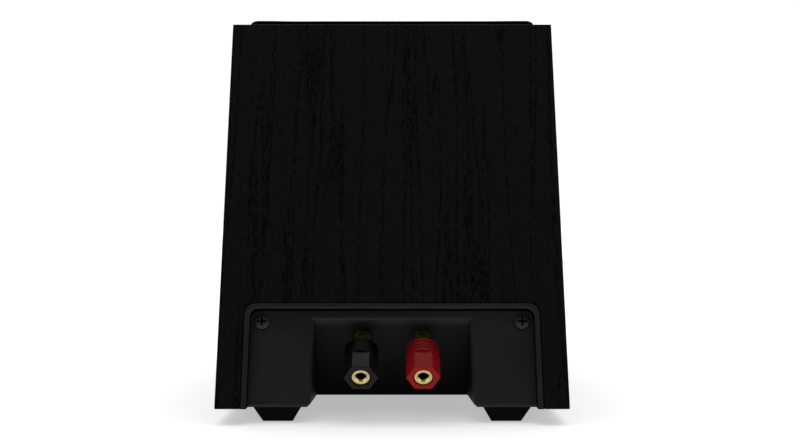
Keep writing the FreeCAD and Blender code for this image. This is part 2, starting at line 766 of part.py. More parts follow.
def make_terminal_cup():
    """The moulded corner cup: a rimmed plate, a base, and a wedge-shaped recess open at the bottom."""
    body = new_body("terminal_cup")
    profile = new_sketch(body, "YZ_Plane")
    outline(profile, [
        ("0", "0"),
        ("size.cup_reach", "0"),
        ("size.cup_reach", "size.cup_base"),
        base_corner(PLATE_BACK, "size.cup_base"),
        up_panel("size.cup_height", PLATE_BACK),
        up_panel("size.cup_height", "0"),
    ])
    pad(body, profile, "size.cup_width", both_sides=True)

    shell = new_sketch(body, "YZ_Plane")
    outline(shell, [
        base_corner("size.cup_depth", "0"),
        down_floor(FLOOR_RUN, "size.recess_wall"),
        down_floor("0", "size.recess_wall"),
        down_floor("0", "0"),
    ])
    shell_width = "(2 * (size.recess_half_width + size.recess_side + size.recess_wall))"
    pad(body, shell, shell_width, both_sides=True)

    plate = new_sketch(body, "YZ_Plane")
    outline(plate, [
        up_panel("-size.cup_height", "-size.cup_depth"),
        up_panel("-size.cup_height", "size.cup_depth"),
        up_panel("size.cup_height - size.cup_rim", "size.cup_depth"),
        up_panel("size.cup_height - size.cup_rim", "-size.cup_depth"),
    ])
    pocket(body, plate, "size.cup_width - 2 * size.cup_rim", both_sides=True)

    recess = new_sketch(body, "XY_Plane", RECESS_SECTION)
    mouth = f"(size.recess_half_width + {FLOOR_RUN} * tan(size.recess_draft))"
    outline(recess, [
        ("-size.recess_half_width", "0"),
        ("size.recess_half_width", "0"),
        (mouth, FLOOR_RUN),
        (f"-{mouth}", FLOOR_RUN),
    ])
    pocket(body, recess, f"2 * {FLOOR_RUN}", reverse=True)

    rim_top = value("size.cup_height")
    inner_top = value("size.cup_height - size.cup_rim")
    outer_half = value(CUP_HALF)
    inner_half = value(f"{CUP_HALF} - size.cup_rim")

    def is_corner(half, top):
        def test(edge):
            ends = [vertex.Point for vertex in edge.Vertexes]
            return same_side(ends) and all(
                near(abs(end.x), half) and near(panel_rise(end), top) for end in ends
            )
        return test

    dress(body, "Fillet", "size.cup_corner", is_corner(outer_half, rim_top))
    dress(body, "Fillet", "size.cup_inner_corner", is_corner(inner_half, inner_top))

    def is_rim_edge(edge):
        ends = [vertex.Point for vertex in edge.Vertexes]
        flush = len(ends) == 2 and all(near(panel_depth(end), 0) for end in ends)
        return flush and max(end.z for end in ends) > 1

    dress(body, "Fillet", "size.cup_edge", is_rim_edge)

    def is_recess_mouth(edge):
        ends = [vertex.Point for vertex in edge.Vertexes]
        depth = value("size.cup_depth")
        reach = value("size.recess_half_width + size.recess_side")
        flush = len(ends) == 2 and all(near(panel_depth(end), depth) for end in ends)
        inside = all(abs(end.x) < reach for end in ends)
        return flush and inside and max(end.z for end in ends) > 1

    dress(body, "Fillet", "size.recess_blend", is_recess_mouth)

    def is_plate_foot(edge):
        ends = [vertex.Point for vertex in edge.Vertexes]
        low = len(ends) == 2 and all(near(end.z, 0) for end in ends)
        return low and all(near(panel_depth(end), value("size.cup_depth")) for end in ends)

    dress(body, "Chamfer", "size.cup_foot_edge", is_plate_foot)

    plate_holes = new_sketch(body, "XY_Plane", REAR)
    circles(plate_holes, CUP_SCREWS, "size.cup_screw_shank")
    pocket(body, plate_holes, f"{PLATE_BACK} + size.cup_plate")
    base_holes = new_sketch(body, "XY_Plane")
    circles(base_holes, mirrored_pairs("size.base_screw_spread", "size.cup_reach - size.base_screw_inset"),
            "size.cup_screw_shank")
    circles(base_holes, mirrored_pairs("size.foot_spread", "size.foot_setback"), "size.foot_screw_shank")
    pocket(body, base_holes, "2 * size.cup_base", reverse=True)
    post_holes = new_sketch(body, "XY_Plane", RECESS_FLOOR)
    circles(post_holes, mirrored_pairs("size.post_spread", "-size.post_drop"), "size.tail_radius")
    pocket(body, post_holes, "2 * size.recess_wall")
    keep(body, "terminal_cup")


def make_cup_gasket():
    """The foam ring that seals the cup to the ledges of the back and the bottom."""
    body = new_body("cup_gasket")
    strip = new_sketch(body, "YZ_Plane")
    outer = f"({PLATE_BACK} + size.gasket)"
    lift = "(size.cup_base + size.gasket)"
    outline(strip, [
        base_corner(PLATE_BACK, "size.cup_base"),
        ("size.cup_reach", "size.cup_base"),
        ("size.cup_reach", lift),
        base_corner(outer, lift),
        up_panel("size.cup_height", outer),
        up_panel("size.cup_height", PLATE_BACK),
    ])
    pad(body, strip, "size.cup_width - 2 * size.cup_corner", both_sides=True)
    opening = new_sketch(body, "YZ_Plane")
    inner_end = "(size.cup_reach - size.cup_base_ledge)"
    outline(opening, [
        ("0", "0"),
        (inner_end, "0"),
        (inner_end, f"2 * {lift}"),
        up_panel("size.cup_height - size.cup_ledge", f"2 * {outer}"),
        up_panel("size.cup_height - size.cup_ledge", "0"),
    ])
    pocket(body, opening, "2 * size.cup_opening", both_sides=True)
    plate_holes = new_sketch(body, "XY_Plane", REAR)
    circles(plate_holes, CUP_SCREWS, "size.cup_screw_shank")
    pocket(body, plate_holes, f"{outer} + size.gasket")
    base_holes = new_sketch(body, "XY_Plane")
    circles(base_holes, mirrored_pairs("size.base_screw_spread", "size.cup_reach - size.base_screw_inset"),
            "size.cup_screw_shank")
    circles(base_holes, mirrored_pairs("size.foot_spread", "size.foot_setback"), "size.foot_screw_shank")
    pocket(body, base_holes, f"{lift} + size.gasket", reverse=True)
    keep(body, "cup_gasket")


# ---------------------------------------------------------------- binding posts

HEX_BASE = "(size.nut_gap + size.collar_length)"
NUT_END = f"({HEX_BASE} + size.hex_length)"
INSERT_END = "(size.nut_gap + size.insert_length)"
WASHER_TOP = "(size.nut_gap - size.running_gap)"


def hexagon(sketch, flats):
    """A hexagon about the origin with two level flats, given the distance across flats."""
    reach = f"({flats} / 2 / cos(30))"
    outline(sketch, [(f"{reach} * cos({60 * k})", f"{reach} * sin({60 * k})") for k in range(6)])


def make_stud(label, frame):
    """The brass stud: a round barrel with a 4 mm socket and a wire hole, and a threaded tail."""
    body = turned(label, [
        ("0", "-size.tail_length"),
        ("size.tail_radius", "-size.tail_length"),
        ("size.tail_radius", "0"),
        ("size.stud_radius", "0"),
        ("size.stud_radius", "size.stud_length"),
        ("size.socket_radius", "size.stud_length"),
        ("size.socket_radius", "size.stud_length - size.socket_depth"),
        ("0", "size.stud_length - size.socket_depth"),
    ])
    wire_hole = new_sketch(body, "YZ_Plane")
    circles(wire_hole, [("0", "size.wire_hole_rise")], "size.wire_hole_radius")
    pocket(body, wire_hole, "4 * size.stud_radius", both_sides=True)
    keep(body, label, frame)


def make_nut_cap(label, frame, grooves):
    """The moulded clamping nut: a round collar, then a hexagon, bored for its brass insert."""
    body = new_body(label)
    hex_sketch = new_sketch(body, "XY_Plane", Placement())
    hex_sketch.setExpression("AttachmentOffset.Base.z", HEX_BASE)
    hexagon(hex_sketch, "size.hex_flats")
    pad(body, hex_sketch, "size.hex_length")
    foot = value(HEX_BASE)

    def is_not_at_foot(edge):
        return not all(near(vertex.Point.z, foot) for vertex in edge.Vertexes)

    dress(body, "Fillet", "size.hex_edge", is_not_at_foot)
    wall = [("size.collar_radius", "size.nut_gap")]
    for k in range(1, grooves + 1):
        low = f"(size.nut_gap + {k} * size.collar_length / 4 - size.groove_width / 2)"
        high = f"({low} + size.groove_width)"
        waist = "size.collar_radius - size.groove_depth"
        wall += [("size.collar_radius", low), (waist, low), (waist, high), ("size.collar_radius", high)]
    wall.append(("size.collar_radius", HEX_BASE))
    turn(body, [("0", "size.nut_gap")] + wall + [("0", HEX_BASE)])
    for radius, start, length, reverse in (
        ("size.nut_mouth_radius", NUT_END, "size.hex_length + size.collar_length / 2", False),
        ("size.insert_radius", "size.nut_gap", "size.insert_length", True),
    ):
        bore = new_sketch(body, "XY_Plane", Placement())
        bore.setExpression("AttachmentOffset.Base.z", start)
        circles(bore, [("0", "0")], radius)
        pocket(body, bore, length, reverse=reverse)
    keep(body, label, frame)


def make_lock_nut(label, frame):
    """The hexagonal nut that holds the stud inside the cabinet."""
    body = new_body(label)
    low = "(-size.recess_wall - size.tab_thickness - size.lock_nut_height)"
    hex_sketch = new_sketch(body, "XY_Plane", Placement())
    hex_sketch.setExpression("AttachmentOffset.Base.z", low)
    hexagon(hex_sketch, "size.lock_nut_flats")
    circles(hex_sketch, [("0", "0")], "size.tail_radius")
    pad(body, hex_sketch, "size.lock_nut_height")
    keep(body, label, frame)


def make_solder_tab(label, frame):
    """The ring tab under the lock nut, with a tongue for the lead."""
    body = new_body(label)
    low = "(-size.recess_wall - size.tab_thickness)"
    plate = new_sketch(body, "XY_Plane", Placement())
    plate.setExpression("AttachmentOffset.Base.z", low)
    circles(plate, [("0", "0")], "size.tab_radius")
    pad(body, plate, "size.tab_thickness")
    tongue = new_sketch(body, "XY_Plane", Placement())
    tongue.setExpression("AttachmentOffset.Base.z", low)
    rectangle(tongue, "0", "-size.tab_width / 2", "size.tab_length", "size.tab_width / 2")
    pad(body, tongue, "size.tab_thickness")
    hole = new_sketch(body, "XY_Plane")
    circles(hole, [("0", "0")], "size.tail_radius")
    pocket(body, hole, "2 * size.tab_thickness + size.recess_wall")
    keep(body, label, frame)


def make_binding_posts():
    """A black post on the left and a red one on the right, each with its clamping nut."""
    spread = value("size.post_spread")
    drop = value("size.post_drop")
    for colour, side, grooves in (("black", -1, 0), ("red", 1, 3)):
        frame = shifted(RECESS_FLOOR, side * spread, -drop, 0)
        outward = frame.multiply(Placement(Vector(), Rotation(Vector(0, 0, 1), 0 if side > 0 else 180)))
        make_stud(f"{colour}_post_stud", frame)
        make_nut_cap(f"{colour}_nut_cap", frame, grooves)
        bore = "(size.stud_radius + size.running_gap)"
        ring(f"{colour}_nut_insert", bore, "size.insert_radius", "size.nut_gap", INSERT_END, frame)
        ring(f"{colour}_clamp_washer", bore, "size.washer_radius",
             f"{WASHER_TOP} - size.washer_thickness", WASHER_TOP, frame)
        make_lock_nut(f"{colour}_lock_nut", frame)
        make_solder_tab(f"{colour}_solder_tab", outward)


# ---------------------------------------------------------------- woofer

CONE_TOP = "(-size.basket_ledge_depth - size.surround_sheet)"
COIL_OUTER = "(size.coil_radius + size.coil_wall)"
CONE_SLOPE = f"(size.cone_depth / ({CONE_RADIUS} - size.cone_rim - {COIL_OUTER}))"


def cone_face(radius):
    """The height of the cone's front face at a radius."""
    return f"({CONE_TOP} - ({CONE_RADIUS} - size.cone_rim - ({radius})) * {CONE_SLOPE})"


def make_woofer_frame():
    """The pressed basket: a flange, a conical wall with six windows, a spider ledge and a floor."""
    wall = "size.basket_wall"
    floor = "-size.basket_depth"
    seat = "-size.spider_depth"
    body = turned("woofer_basket", [
        ("size.woofer_radius", "0"),
        ("size.woofer_radius", "-size.driver_flange"),
        (BASKET_STEP, "-size.driver_flange"),
        (f"{SPIDER_OUTER} + {wall}", f"{seat} - {wall}"),
        (f"{SPIDER_SEAT} + {wall}", f"{seat} - {wall}"),
        (f"{SPIDER_SEAT} + {wall}", floor),
        ("size.basket_hole", floor),
        ("size.basket_hole", f"{floor} + size.basket_floor"),
        (SPIDER_SEAT, f"{floor} + size.basket_floor"),
        (SPIDER_SEAT, seat),
        (SPIDER_OUTER, seat),
        (BASKET_LEDGE, f"-size.driver_flange - {wall}"),
        (BASKET_LEDGE, "-size.basket_ledge_depth"),
        (BASKET_STEP, "-size.basket_ledge_depth"),
        (BASKET_STEP, "0"),
    ])
    window = new_sketch(body, "YZ_Plane")
    rectangle(window, "-size.basket_window / 2", f"{seat} + {wall}", "size.basket_window / 2",
              f"-size.driver_flange - 2 * {wall}")
    cut = pocket(body, window, "size.woofer_radius", reverse=True)
    pattern = body.newObject("PartDesign::PolarPattern", "woofer_basket_windows")
    pattern.Originals = [cut]
    axis = [feature for feature in body.Origin.OriginFeatures if feature.Role == "Z_Axis"][0]
    pattern.Axis = (axis, [""])
    pattern.Angle = 360
    pattern.Occurrences = 6
    body.Tip = pattern
    screw_holes(body, WOOFER_SCREWS)
    keep(body, "woofer_basket", WOOFER)


def screw_holes(body, circle):
    """Four counterbored screw holes in a driver's flange."""
    heads = new_sketch(body, "XY_Plane")
    circles(heads, screw_circle("0", circle), "size.driver_screw_head + size.driver_bore_gap")
    pocket(body, heads, "size.screw_head_height")
    shanks = new_sketch(body, "XY_Plane")
    circles(shanks, screw_circle("0", circle), "size.driver_screw_shank + size.driver_bore_gap / 2")
    pocket(body, shanks, "2 * size.driver_flange")


def make_woofer_motor():
    """The top plate, the ring magnet, and the yoke with its vented pole."""
    plate = "-size.basket_depth"
    magnet = f"({plate} - size.top_plate_height)"
    yoke = f"({magnet} - size.magnet_height)"
    ring("woofer_top_plate", "size.gap_radius", TOP_PLATE_RADIUS, magnet, plate, WOOFER)
    ring("woofer_magnet", "size.magnet_hole", MAGNET_RADIUS, yoke, magnet, WOOFER)
    body = turned("woofer_yoke", [
        ("size.vent_radius", f"{yoke} - size.yoke_height"),
        (YOKE_RADIUS, f"{yoke} - size.yoke_height"),
        (YOKE_RADIUS, yoke),
        ("size.pole_radius", yoke),
        ("size.pole_radius", plate),
        ("size.vent_radius", plate),
    ])
    keep(body, "woofer_yoke", WOOFER)


def make_woofer_cone():
    """The moving parts: the cone, dust cap, coil former and winding, with the surround and spider."""
    neck = COIL_OUTER
    rim = f"({CONE_RADIUS} - size.cone_rim)"
    body = turned("woofer_cone", [
        (neck, cone_face(neck)),
        (neck, f"{cone_face(neck)} - size.cone_sheet"),
        (f"{rim} + size.cone_sheet / 2", f"{CONE_TOP} - size.cone_sheet"),
        (CONE_RADIUS, f"{CONE_TOP} - size.cone_sheet"),
        (CONE_RADIUS, CONE_TOP),
        (rim, CONE_TOP),
    ])
    keep(body, "woofer_cone", WOOFER)

    outer = "size.cap_radius"
    inner = "(size.cap_radius - size.cone_sheet)"
    crown = f"({cone_face(outer)} + size.cap_rise)"
    under = f"({crown} - size.cone_sheet)"
    body = turned("woofer_dust_cap", [
        ("0", under),
        (inner, cone_face(inner), *crown_point(inner, cone_face(inner), under)),
        (outer, cone_face(outer)),
        ("0", crown, *crown_point(outer, cone_face(outer), crown)),
    ])
    keep(body, "woofer_dust_cap", WOOFER)

    ring("woofer_coil_former", "size.coil_radius", COIL_OUTER, "-size.coil_bottom", "-size.coil_top", WOOFER)
    low = "(-size.coil_bottom + size.winding_wall)"
    ring("woofer_coil_winding", COIL_OUTER, f"{COIL_OUTER} + size.winding_wall",
         low, f"{low} + size.winding_height", WOOFER)

    sheet_thick = "size.surround_sheet"
    low = "-size.basket_ledge_depth"
    middle = f"(({CONE_RADIUS} + {BASKET_LEDGE}) / 2)"
    roll = f"(({BASKET_LEDGE} - {CONE_RADIUS}) / 2)"
    body = turned("woofer_surround", [
        (rim, f"{low} - {sheet_thick}"),
        (CONE_RADIUS, f"{low} - {sheet_thick}"),
        (f"{CONE_RADIUS} + {sheet_thick}", low),
        (f"{BASKET_LEDGE} - {sheet_thick}", low, middle, f"{low} + {roll} - {sheet_thick}"),
        (BASKET_STEP, low),
        (BASKET_STEP, f"{low} + {sheet_thick}"),
        (BASKET_LEDGE, f"{low} + {sheet_thick}"),
        (CONE_RADIUS, f"{low} + {sheet_thick}", middle, f"{low} + {sheet_thick} + {roll}"),
        (rim, f"{low}"),
    ])
    keep(body, "woofer_surround", WOOFER)

    seat = "-size.spider_depth"
    thick = "size.spider_sheet"
    waves = 5
    pitch = f"(({SPIDER_SEAT} - {neck}) / {2 * waves})"
    lower = []
    upper = []
    for k in range(2 * waves + 1):
        place = f"({neck} + {k} * {pitch})"
        lift = "0" if k % 2 == 0 else "size.spider_sheet * 2"
        lower.append((place, f"{seat} + {lift}"))
        upper.append((place, f"{seat} + {thick} + {lift}"))
    lip = [(SPIDER_OUTER, seat), (SPIDER_OUTER, f"{seat} + {thick}")]
    body = turned("woofer_spider", lower + lip + upper[::-1])
    keep(body, "woofer_spider", WOOFER)


# ---------------------------------------------------------------- tweeter

def make_tweeter():
    """A dome tweeter: waveguide faceplate, dome on its ring, voice coil and motor."""
    back = "-size.driver_flange"
    throat = f"({back} + size.throat_lip)"
    body = turned("tweeter_faceplate", [
        ("size.tweeter_radius", "0"),
        ("size.tweeter_radius", back),
        ("size.throat_radius", back),
        ("size.throat_radius", throat),
        ("(size.throat_radius + size.horn_radius) / 2", f"{throat} / 3"),
        ("size.horn_radius", "0"),
    ])
    screw_holes(body, TWEETER_SCREWS)
    keep(body, "tweeter_faceplate", TWEETER)

    thick = "size.dome_sheet"
    inner = f"(size.dome_radius - {thick})"
    under = f"({back} + size.dome_rise)"
    over = f"({under} + {thick})"
    body = turned("tweeter_dome", [
        ("0", under),
        (inner, back, *crown_point(inner, back, under)),
        ("size.dome_radius", back),
        ("0", over, *crown_point("size.dome_radius", back, over)),
    ])
    keep(body, "tweeter_dome", TWEETER)
    ring("tweeter_surround", "size.dome_radius", "size.throat_radius", back, f"{back} + {thick}", TWEETER)
    ring("tweeter_voice_coil", f"size.dome_radius - {thick}", "size.dome_radius",
         f"{back} - size.tweeter_coil_height", back, TWEETER)

    magnet = f"({back} - size.tweeter_plate_height)"
    yoke = f"({magnet} - size.tweeter_magnet_height)"
    ring("tweeter_top_plate", "size.tweeter_gap_radius", "size.tweeter_plate_radius", magnet, back, TWEETER)
    ring("tweeter_magnet", "size.tweeter_magnet_hole", "size.tweeter_magnet_radius", yoke, magnet, TWEETER)
    body = turned("tweeter_yoke", [
        ("0", f"{yoke} - size.tweeter_yoke_height"),
        ("size.tweeter_plate_radius", f"{yoke} - size.tweeter_yoke_height"),
        ("size.tweeter_plate_radius", yoke),
        ("size.pole_radius", yoke),
        ("size.pole_radius", f"{back} - size.dome_sheet"),
        ("0", f"{back} - size.dome_sheet"),
    ])
    keep(body, "tweeter_yoke", TWEETER)


def make_driver_tags():
    """The solder tags of the two drivers, where their leads end."""
    tag = doc.addObject("Part::Box", "driver_tag")
    tag.setExpression("Length", "size.tag_length")
    tag.setExpression("Width", "size.tag_thickness")
    tag.setExpression("Height", "size.tag_height")
    doc.recompute()
    half = value("size.tag_length") / 2
    rim = value(f"{SPIDER_SEAT} + size.basket_wall")
    low = value("-size.basket_depth + size.tag_thickness")
    woofer_tag = shifted(WOOFER, -half, -rim - value("size.tag_thickness"), low)
    floor = value(f"{DRIVER_FLOOR} - size.tag_thickness")
    turn = Placement(Vector(-half, value("size.tag_height") / 2, floor), Rotation(Vector(1, 0, 0), 90))
    tweeter_tag = TWEETER.multiply(turn)
    group("driver_tags", tag, [woofer_tag, tweeter_tag])


# ---------------------------------------------------------------- crossover

def make_crossover():
    """The filter board on its standoffs, with a coil, a capacitor and a resistor."""
    lift = value("size.panel_thickness + size.standoff_height")
    top = lift + value("size.board_thickness")
    along = value("size.board_place")
    board = doc.addObject("Part::Box", "crossover_board")
    board.setExpression("Length", "size.board_width")
    board.setExpression("Width", "size.board_length")
    board.setExpression("Height", "size.board_thickness")
    keep(board, "crossover_board", Placement(Vector(-value("size.board_width") / 2, along, lift), Rotation()))

    post = doc.addObject("Part::Cylinder", "standoff")
    post.setExpression("Radius", "size.standoff_radius")
    post.setExpression("Height", "size.standoff_height")
    doc.recompute()
    inset = value("size.standoff_inset")
    half = value("size.board_width") / 2 - inset
    places = [
        Placement(Vector(side * half, y, value("size.panel_thickness")), Rotation())
        for side in (-1, 1)
        for y in (along + inset, along + value("size.board_length") - inset)
    ]
    group("crossover_standoffs", post, places)

    middle = along + value("size.board_length") / 2
    centre = Placement(Vector(-value("size.board_width") / 4, middle, top), Rotation())
    ring("crossover_inductor", "size.inductor_hole", "size.inductor_radius",
         "0", "size.inductor_height", centre)

    can = doc.addObject("Part::Cylinder", "crossover_capacitor")
    can.setExpression("Radius", "size.capacitor_radius")
    can.setExpression("Height", "size.capacitor_length")
    start = Vector(value("size.board_width") / 4, middle - value("size.capacitor_length") / 2,
                   top + value("size.capacitor_radius"))
    keep(can, "crossover_capacitor", Placement(start, Rotation(Vector(1, 0, 0), -90)))

    block = doc.addObject("Part::Box", "crossover_resistor")
    block.setExpression("Length", "size.resistor_width")
    block.setExpression("Width", "size.resistor_length")
    block.setExpression("Height", "size.resistor_width")
    start = Vector(value("size.board_width / 2 - size.resistor_width - size.standoff_inset"),
                   middle - value("size.resistor_length") / 2, top)
    keep(block, "crossover_resistor", Placement(start, Rotation()))


# ---------------------------------------------------------------- leads

def rounded_route(points):
    """Straight runs through points, joined by the largest tangent arcs that their runs leave room for."""
    edges = []
    start = points[0]
    radii = []
    for before, corner, after in zip(points, points[1:], points[2:]):
        arriving = (corner - before).normalize()
        leaving = (after - corner).normalize()
        cut = 0.45 * min(corner.distanceToPoint(before), corner.distanceToPoint(after))
        half_turn = arriving.getAngle(leaving) / 2
        radius = cut / math.tan(half_turn)
        radii.append(radius)
        first = corner - arriving * cut
        last = corner + leaving * cut
        bisector = (leaving - arriving).normalize()
        middle = corner + bisector * (radius / math.cos(half_turn) - radius)
        edges.append(Part.LineSegment(start, first).toShape())
        edges.append(Part.Arc(first, middle, last).toShape())
        start = last
    edges.append(Part.LineSegment(start, points[-1]).toShape())
    print("  bend radii:", ", ".join(f"{radius:.1f}" for radius in radii))
    return Part.Wire(edges)


def lead_tube(points):
    """A round lead along a route of (x, y, z) points in the cabinet's frame."""
    radius = value("size.lead_radius")
    corners = [Vector(*point) for point in points]
    path = rounded_route(corners)
    section = Part.Wire([Part.Circle(corners[0], corners[1] - corners[0], radius).toShape()])
    tube = path.makePipeShell([section], True, False)
    expected = math.pi * radius ** 2 * path.Length
    if abs(tube.Volume - expected) > 0.02 * expected:
        raise RuntimeError("a lead's volume is not its section times its length")
    return tube


def make_leads():
    """Three pairs of leads: posts to board, board to woofer, and board to tweeter."""
    board_top = value("size.panel_thickness + size.standoff_height + size.board_thickness")
    tab = value("size.tab_length") - value("size.tab_width") / 2
    behind = "size.recess_wall + size.tab_thickness"
    start_y = value(down_floor("size.post_drop", behind)[0])
    start_z = value(down_floor("size.post_drop", behind)[1])
    start_x = value("size.post_spread") + tab
    lean = math.radians(value("size.recess_lean"))
    run = 16.0
    after = (start_y + run * math.cos(lean), start_z + run * math.sin(lean))
    input_route = [(start_y, start_z), after, (56.0, 40.0), (63.0, 33.0), (63.0, board_top)]

    woofer_end = shifted(WOOFER, 0, -value(f"{SPIDER_SEAT} + size.basket_wall + size.tag_thickness"),
                         value("-size.basket_depth + size.tag_thickness + size.tag_height / 2"))
    end = woofer_end.Base
    back = woofer_end.multVec(Vector(0, -22.0, 0))
    along = value("size.brace_place")
    roof = value("-size.panel_thickness - size.brace_rail")
    before = BAFFLE.multVec(Vector(0, along - 29.0, roof - 40.0))
    through = BAFFLE.multVec(Vector(0, along - 14.0, roof - 16.0))
    woofer_route = [(88.0, board_top), (88.0, board_top + 25.0), (before.y, before.z),
                    (through.y, through.z), (back.y, back.z), (end.y, end.z)]

    tweeter_end = shifted(TWEETER, 0, 0, value(f"{DRIVER_FLOOR} - size.tag_thickness"))
    end = tweeter_end.Base
    back = tweeter_end.multVec(Vector(0, 0, -26.0))
    rise = board_top + 25.0
    middle_y = 78.0 + 0.2 * (back.y - 78.0)
    middle_z = rise + 0.55 * (back.z - rise)
    tweeter_route = [(78.0, board_top), (78.0, rise), (middle_y, middle_z), (back.y, back.z), (end.y, end.z)]

    for label, offset, route in (
        ("input_leads", start_x, input_route),
        ("woofer_leads", 4.0, woofer_route),
        ("tweeter_leads", 4.0, tweeter_route),
    ):
        tubes = [lead_tube([(side * offset, y, z) for y, z in route]) for side in (-1, 1)]
        made = doc.addObject("Part::Feature", label)
        made.Shape = Part.makeCompound(tubes)
        keep(made, label)


# ---------------------------------------------------------------- grille

def is_upright_corner(edge):
    """Whether an edge runs straight along Z."""
    ends = [vertex.Point for vertex in edge.Vertexes]
    return len(ends) == 2 and near(ends[0].x, ends[1].x) and near(ends[0].y, ends[1].y)


def make_grille():
    """The lift-off grille: a frame with two windows, its stretched cloth, and its magnets."""
    low = "size.grille_gap"
    half = "(size.cabinet_width / 2 - size.grille_inset)"
    near_end = "size.grille_inset"
    far_end = "(size.baffle_length - size.grille_inset)"
    cloth = "size.cloth_thickness"
    thickness = f"(size.grille_height - {low} - {cloth})"

    frame = new_body("grille_frame")
    plate = new_sketch(frame, "XY_Plane", Placement())
    plate.setExpression("AttachmentOffset.Base.z", low)
    board = (f"-({half} - {cloth})", f"{near_end} + {cloth}", f"{half} - {cloth}", f"{far_end} - {cloth}")
    rectangle(plate, *board)
    pad(frame, plate, thickness)
    dress(frame, "Fillet", f"size.grille_corner - {cloth}", is_upright_corner)
    inner = f"({half} - {cloth} - size.grille_rail)"
    bar = "((size.tweeter_place + size.tweeter_radius + size.woofer_place - size.woofer_radius) / 2)"
    windows = new_sketch(frame, "XY_Plane", Placement())
    windows.setExpression("AttachmentOffset.Base.z", low)
    rail = f"({cloth} + size.grille_rail)"
    rectangle(windows, f"-{inner}", f"{near_end} + {rail}", inner, f"{bar} - size.grille_bar / 2")
    rectangle(windows, f"-{inner}", f"{bar} + size.grille_bar / 2", inner, f"{far_end} - {rail}")
    pocket(frame, windows, "size.grille_height", reverse=True)
    discs = new_sketch(frame, "XY_Plane", Placement())
    discs.setExpression("AttachmentOffset.Base.z", low)
    circles(discs, grille_disc_places(), "size.disc_radius")
    pocket(frame, discs, "size.disc_thickness", reverse=True)
    keep(frame, "grille_frame", BAFFLE)

    skin = new_body("grille_cloth")
    outer = new_sketch(skin, "XY_Plane", Placement())
    outer.setExpression("AttachmentOffset.Base.z", low)
    rectangle(outer, f"-{half}", near_end, half, far_end)
    pad(skin, outer, f"size.grille_height - {low}")
    dress(skin, "Fillet", "size.grille_corner", is_upright_corner)
    top = value("size.grille_height")

    def is_top_edge(edge):
        return all(near(vertex.Point.z, top) for vertex in edge.Vertexes)

    dress(skin, "Fillet", "size.grille_edge", is_top_edge)
    hollow = new_body("grille_cloth_hollow")
    inside = new_sketch(hollow, "XY_Plane", Placement())
    inside.setExpression("AttachmentOffset.Base.z", low)
    rectangle(inside, *board)
    pad(hollow, inside, thickness)
    dress(hollow, "Fillet", f"size.grille_corner - {cloth}", is_upright_corner)
    doc.recompute()
    skin.Label = "grille_cloth_skin"
    tray = doc.addObject("Part::Cut", "grille_cloth_tray")
    tray.Base = skin
    tray.Tool = hollow
    doc.recompute()
    keep(tray, "grille_cloth", BAFFLE)

    disc = doc.addObject("Part::Cylinder", "disc")
    disc.setExpression("Radius", "size.disc_radius")
    disc.setExpression("Height", "size.disc_thickness")
    doc.recompute()
    places = [(value(x), value(y)) for x, y in grille_disc_places()]
    group("grille_magnets", disc, [shifted(BAFFLE, x, y, value(low)) for x, y in places])
    group("baffle_magnets", disc, [shifted(BAFFLE, x, y, -value("size.disc_thickness")) for x, y in places])


# ---------------------------------------------------------------- the whole

make_side_panel("left_side_panel", -1)
make_side_panel("right_side_panel", 1)
make_rear_panel()
make_bottom_panel()
mitred_panel("front_panel", FRONT, FRONT_HEIGHT, "90", FRONT_CORNER)
make_baffle_panel()
make_brace()
make_acoustic_pad()
make_terminal_cup()
make_cup_gasket()
make_binding_posts()
make_feet()
make_fasteners()
make_woofer_frame()
make_woofer_motor()
make_woofer_cone()
make_tweeter()
make_driver_tags()
make_crossover()
make_leads()
make_grille()
doc.recompute()

box = FreeCAD.BoundBox()
for made in subparts.values():
    box.add(made.Shape.BoundBox)
lift = Placement(Vector(-box.Center.x, -box.Center.y, -box.ZMin), Rotation())
for made in subparts.values():
    made.Placement = lift.multiply(made.Placement)
doc.recompute()

for item in doc.Objects:
    if "Invalid" in item.State or "Error" in item.State:
        raise RuntimeError(f"{item.Label} failed to build: {item.State}")
for label, made in subparts.items():
    if made.Shape.isNull() or not made.Shape.isValid():
        raise RuntimeError(f"{label} has no valid shape")

os.makedirs("parts", exist_ok=True)
for label, made in subparts.items():
    made.Shape.exportStep(f"parts/{label}.step")
print(f"{len(subparts)} sub-parts; the cabinet's frame sits at {lift.Base}; the box is {box}")
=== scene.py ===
import math

import bmesh
import bpy
from mathutils import Matrix, Vector, noise


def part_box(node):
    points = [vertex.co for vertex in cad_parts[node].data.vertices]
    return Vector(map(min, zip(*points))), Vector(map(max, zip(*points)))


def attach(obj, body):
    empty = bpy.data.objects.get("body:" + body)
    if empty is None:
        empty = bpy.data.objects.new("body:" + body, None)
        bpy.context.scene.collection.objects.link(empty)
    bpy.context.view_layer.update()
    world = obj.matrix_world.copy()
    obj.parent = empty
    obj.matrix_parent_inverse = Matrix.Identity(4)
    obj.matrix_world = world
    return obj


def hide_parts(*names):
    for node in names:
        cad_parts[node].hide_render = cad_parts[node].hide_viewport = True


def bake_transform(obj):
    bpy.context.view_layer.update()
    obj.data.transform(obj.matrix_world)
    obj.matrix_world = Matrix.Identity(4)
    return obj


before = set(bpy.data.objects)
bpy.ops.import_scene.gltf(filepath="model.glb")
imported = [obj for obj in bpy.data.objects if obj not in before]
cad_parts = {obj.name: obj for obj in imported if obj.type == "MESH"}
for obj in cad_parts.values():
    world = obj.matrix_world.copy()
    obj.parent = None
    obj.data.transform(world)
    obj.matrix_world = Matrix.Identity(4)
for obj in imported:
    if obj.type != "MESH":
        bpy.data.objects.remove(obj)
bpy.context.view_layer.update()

# A wedge-shaped bookshelf loudspeaker on rubber feet.  Its back leans forward, its baffle faces up
# and forward under a lift-off grille, and its terminal cup sits in the back's lower edge.
# Lengths called *_MM are in millimetres; everything placed in the scene is in metres.

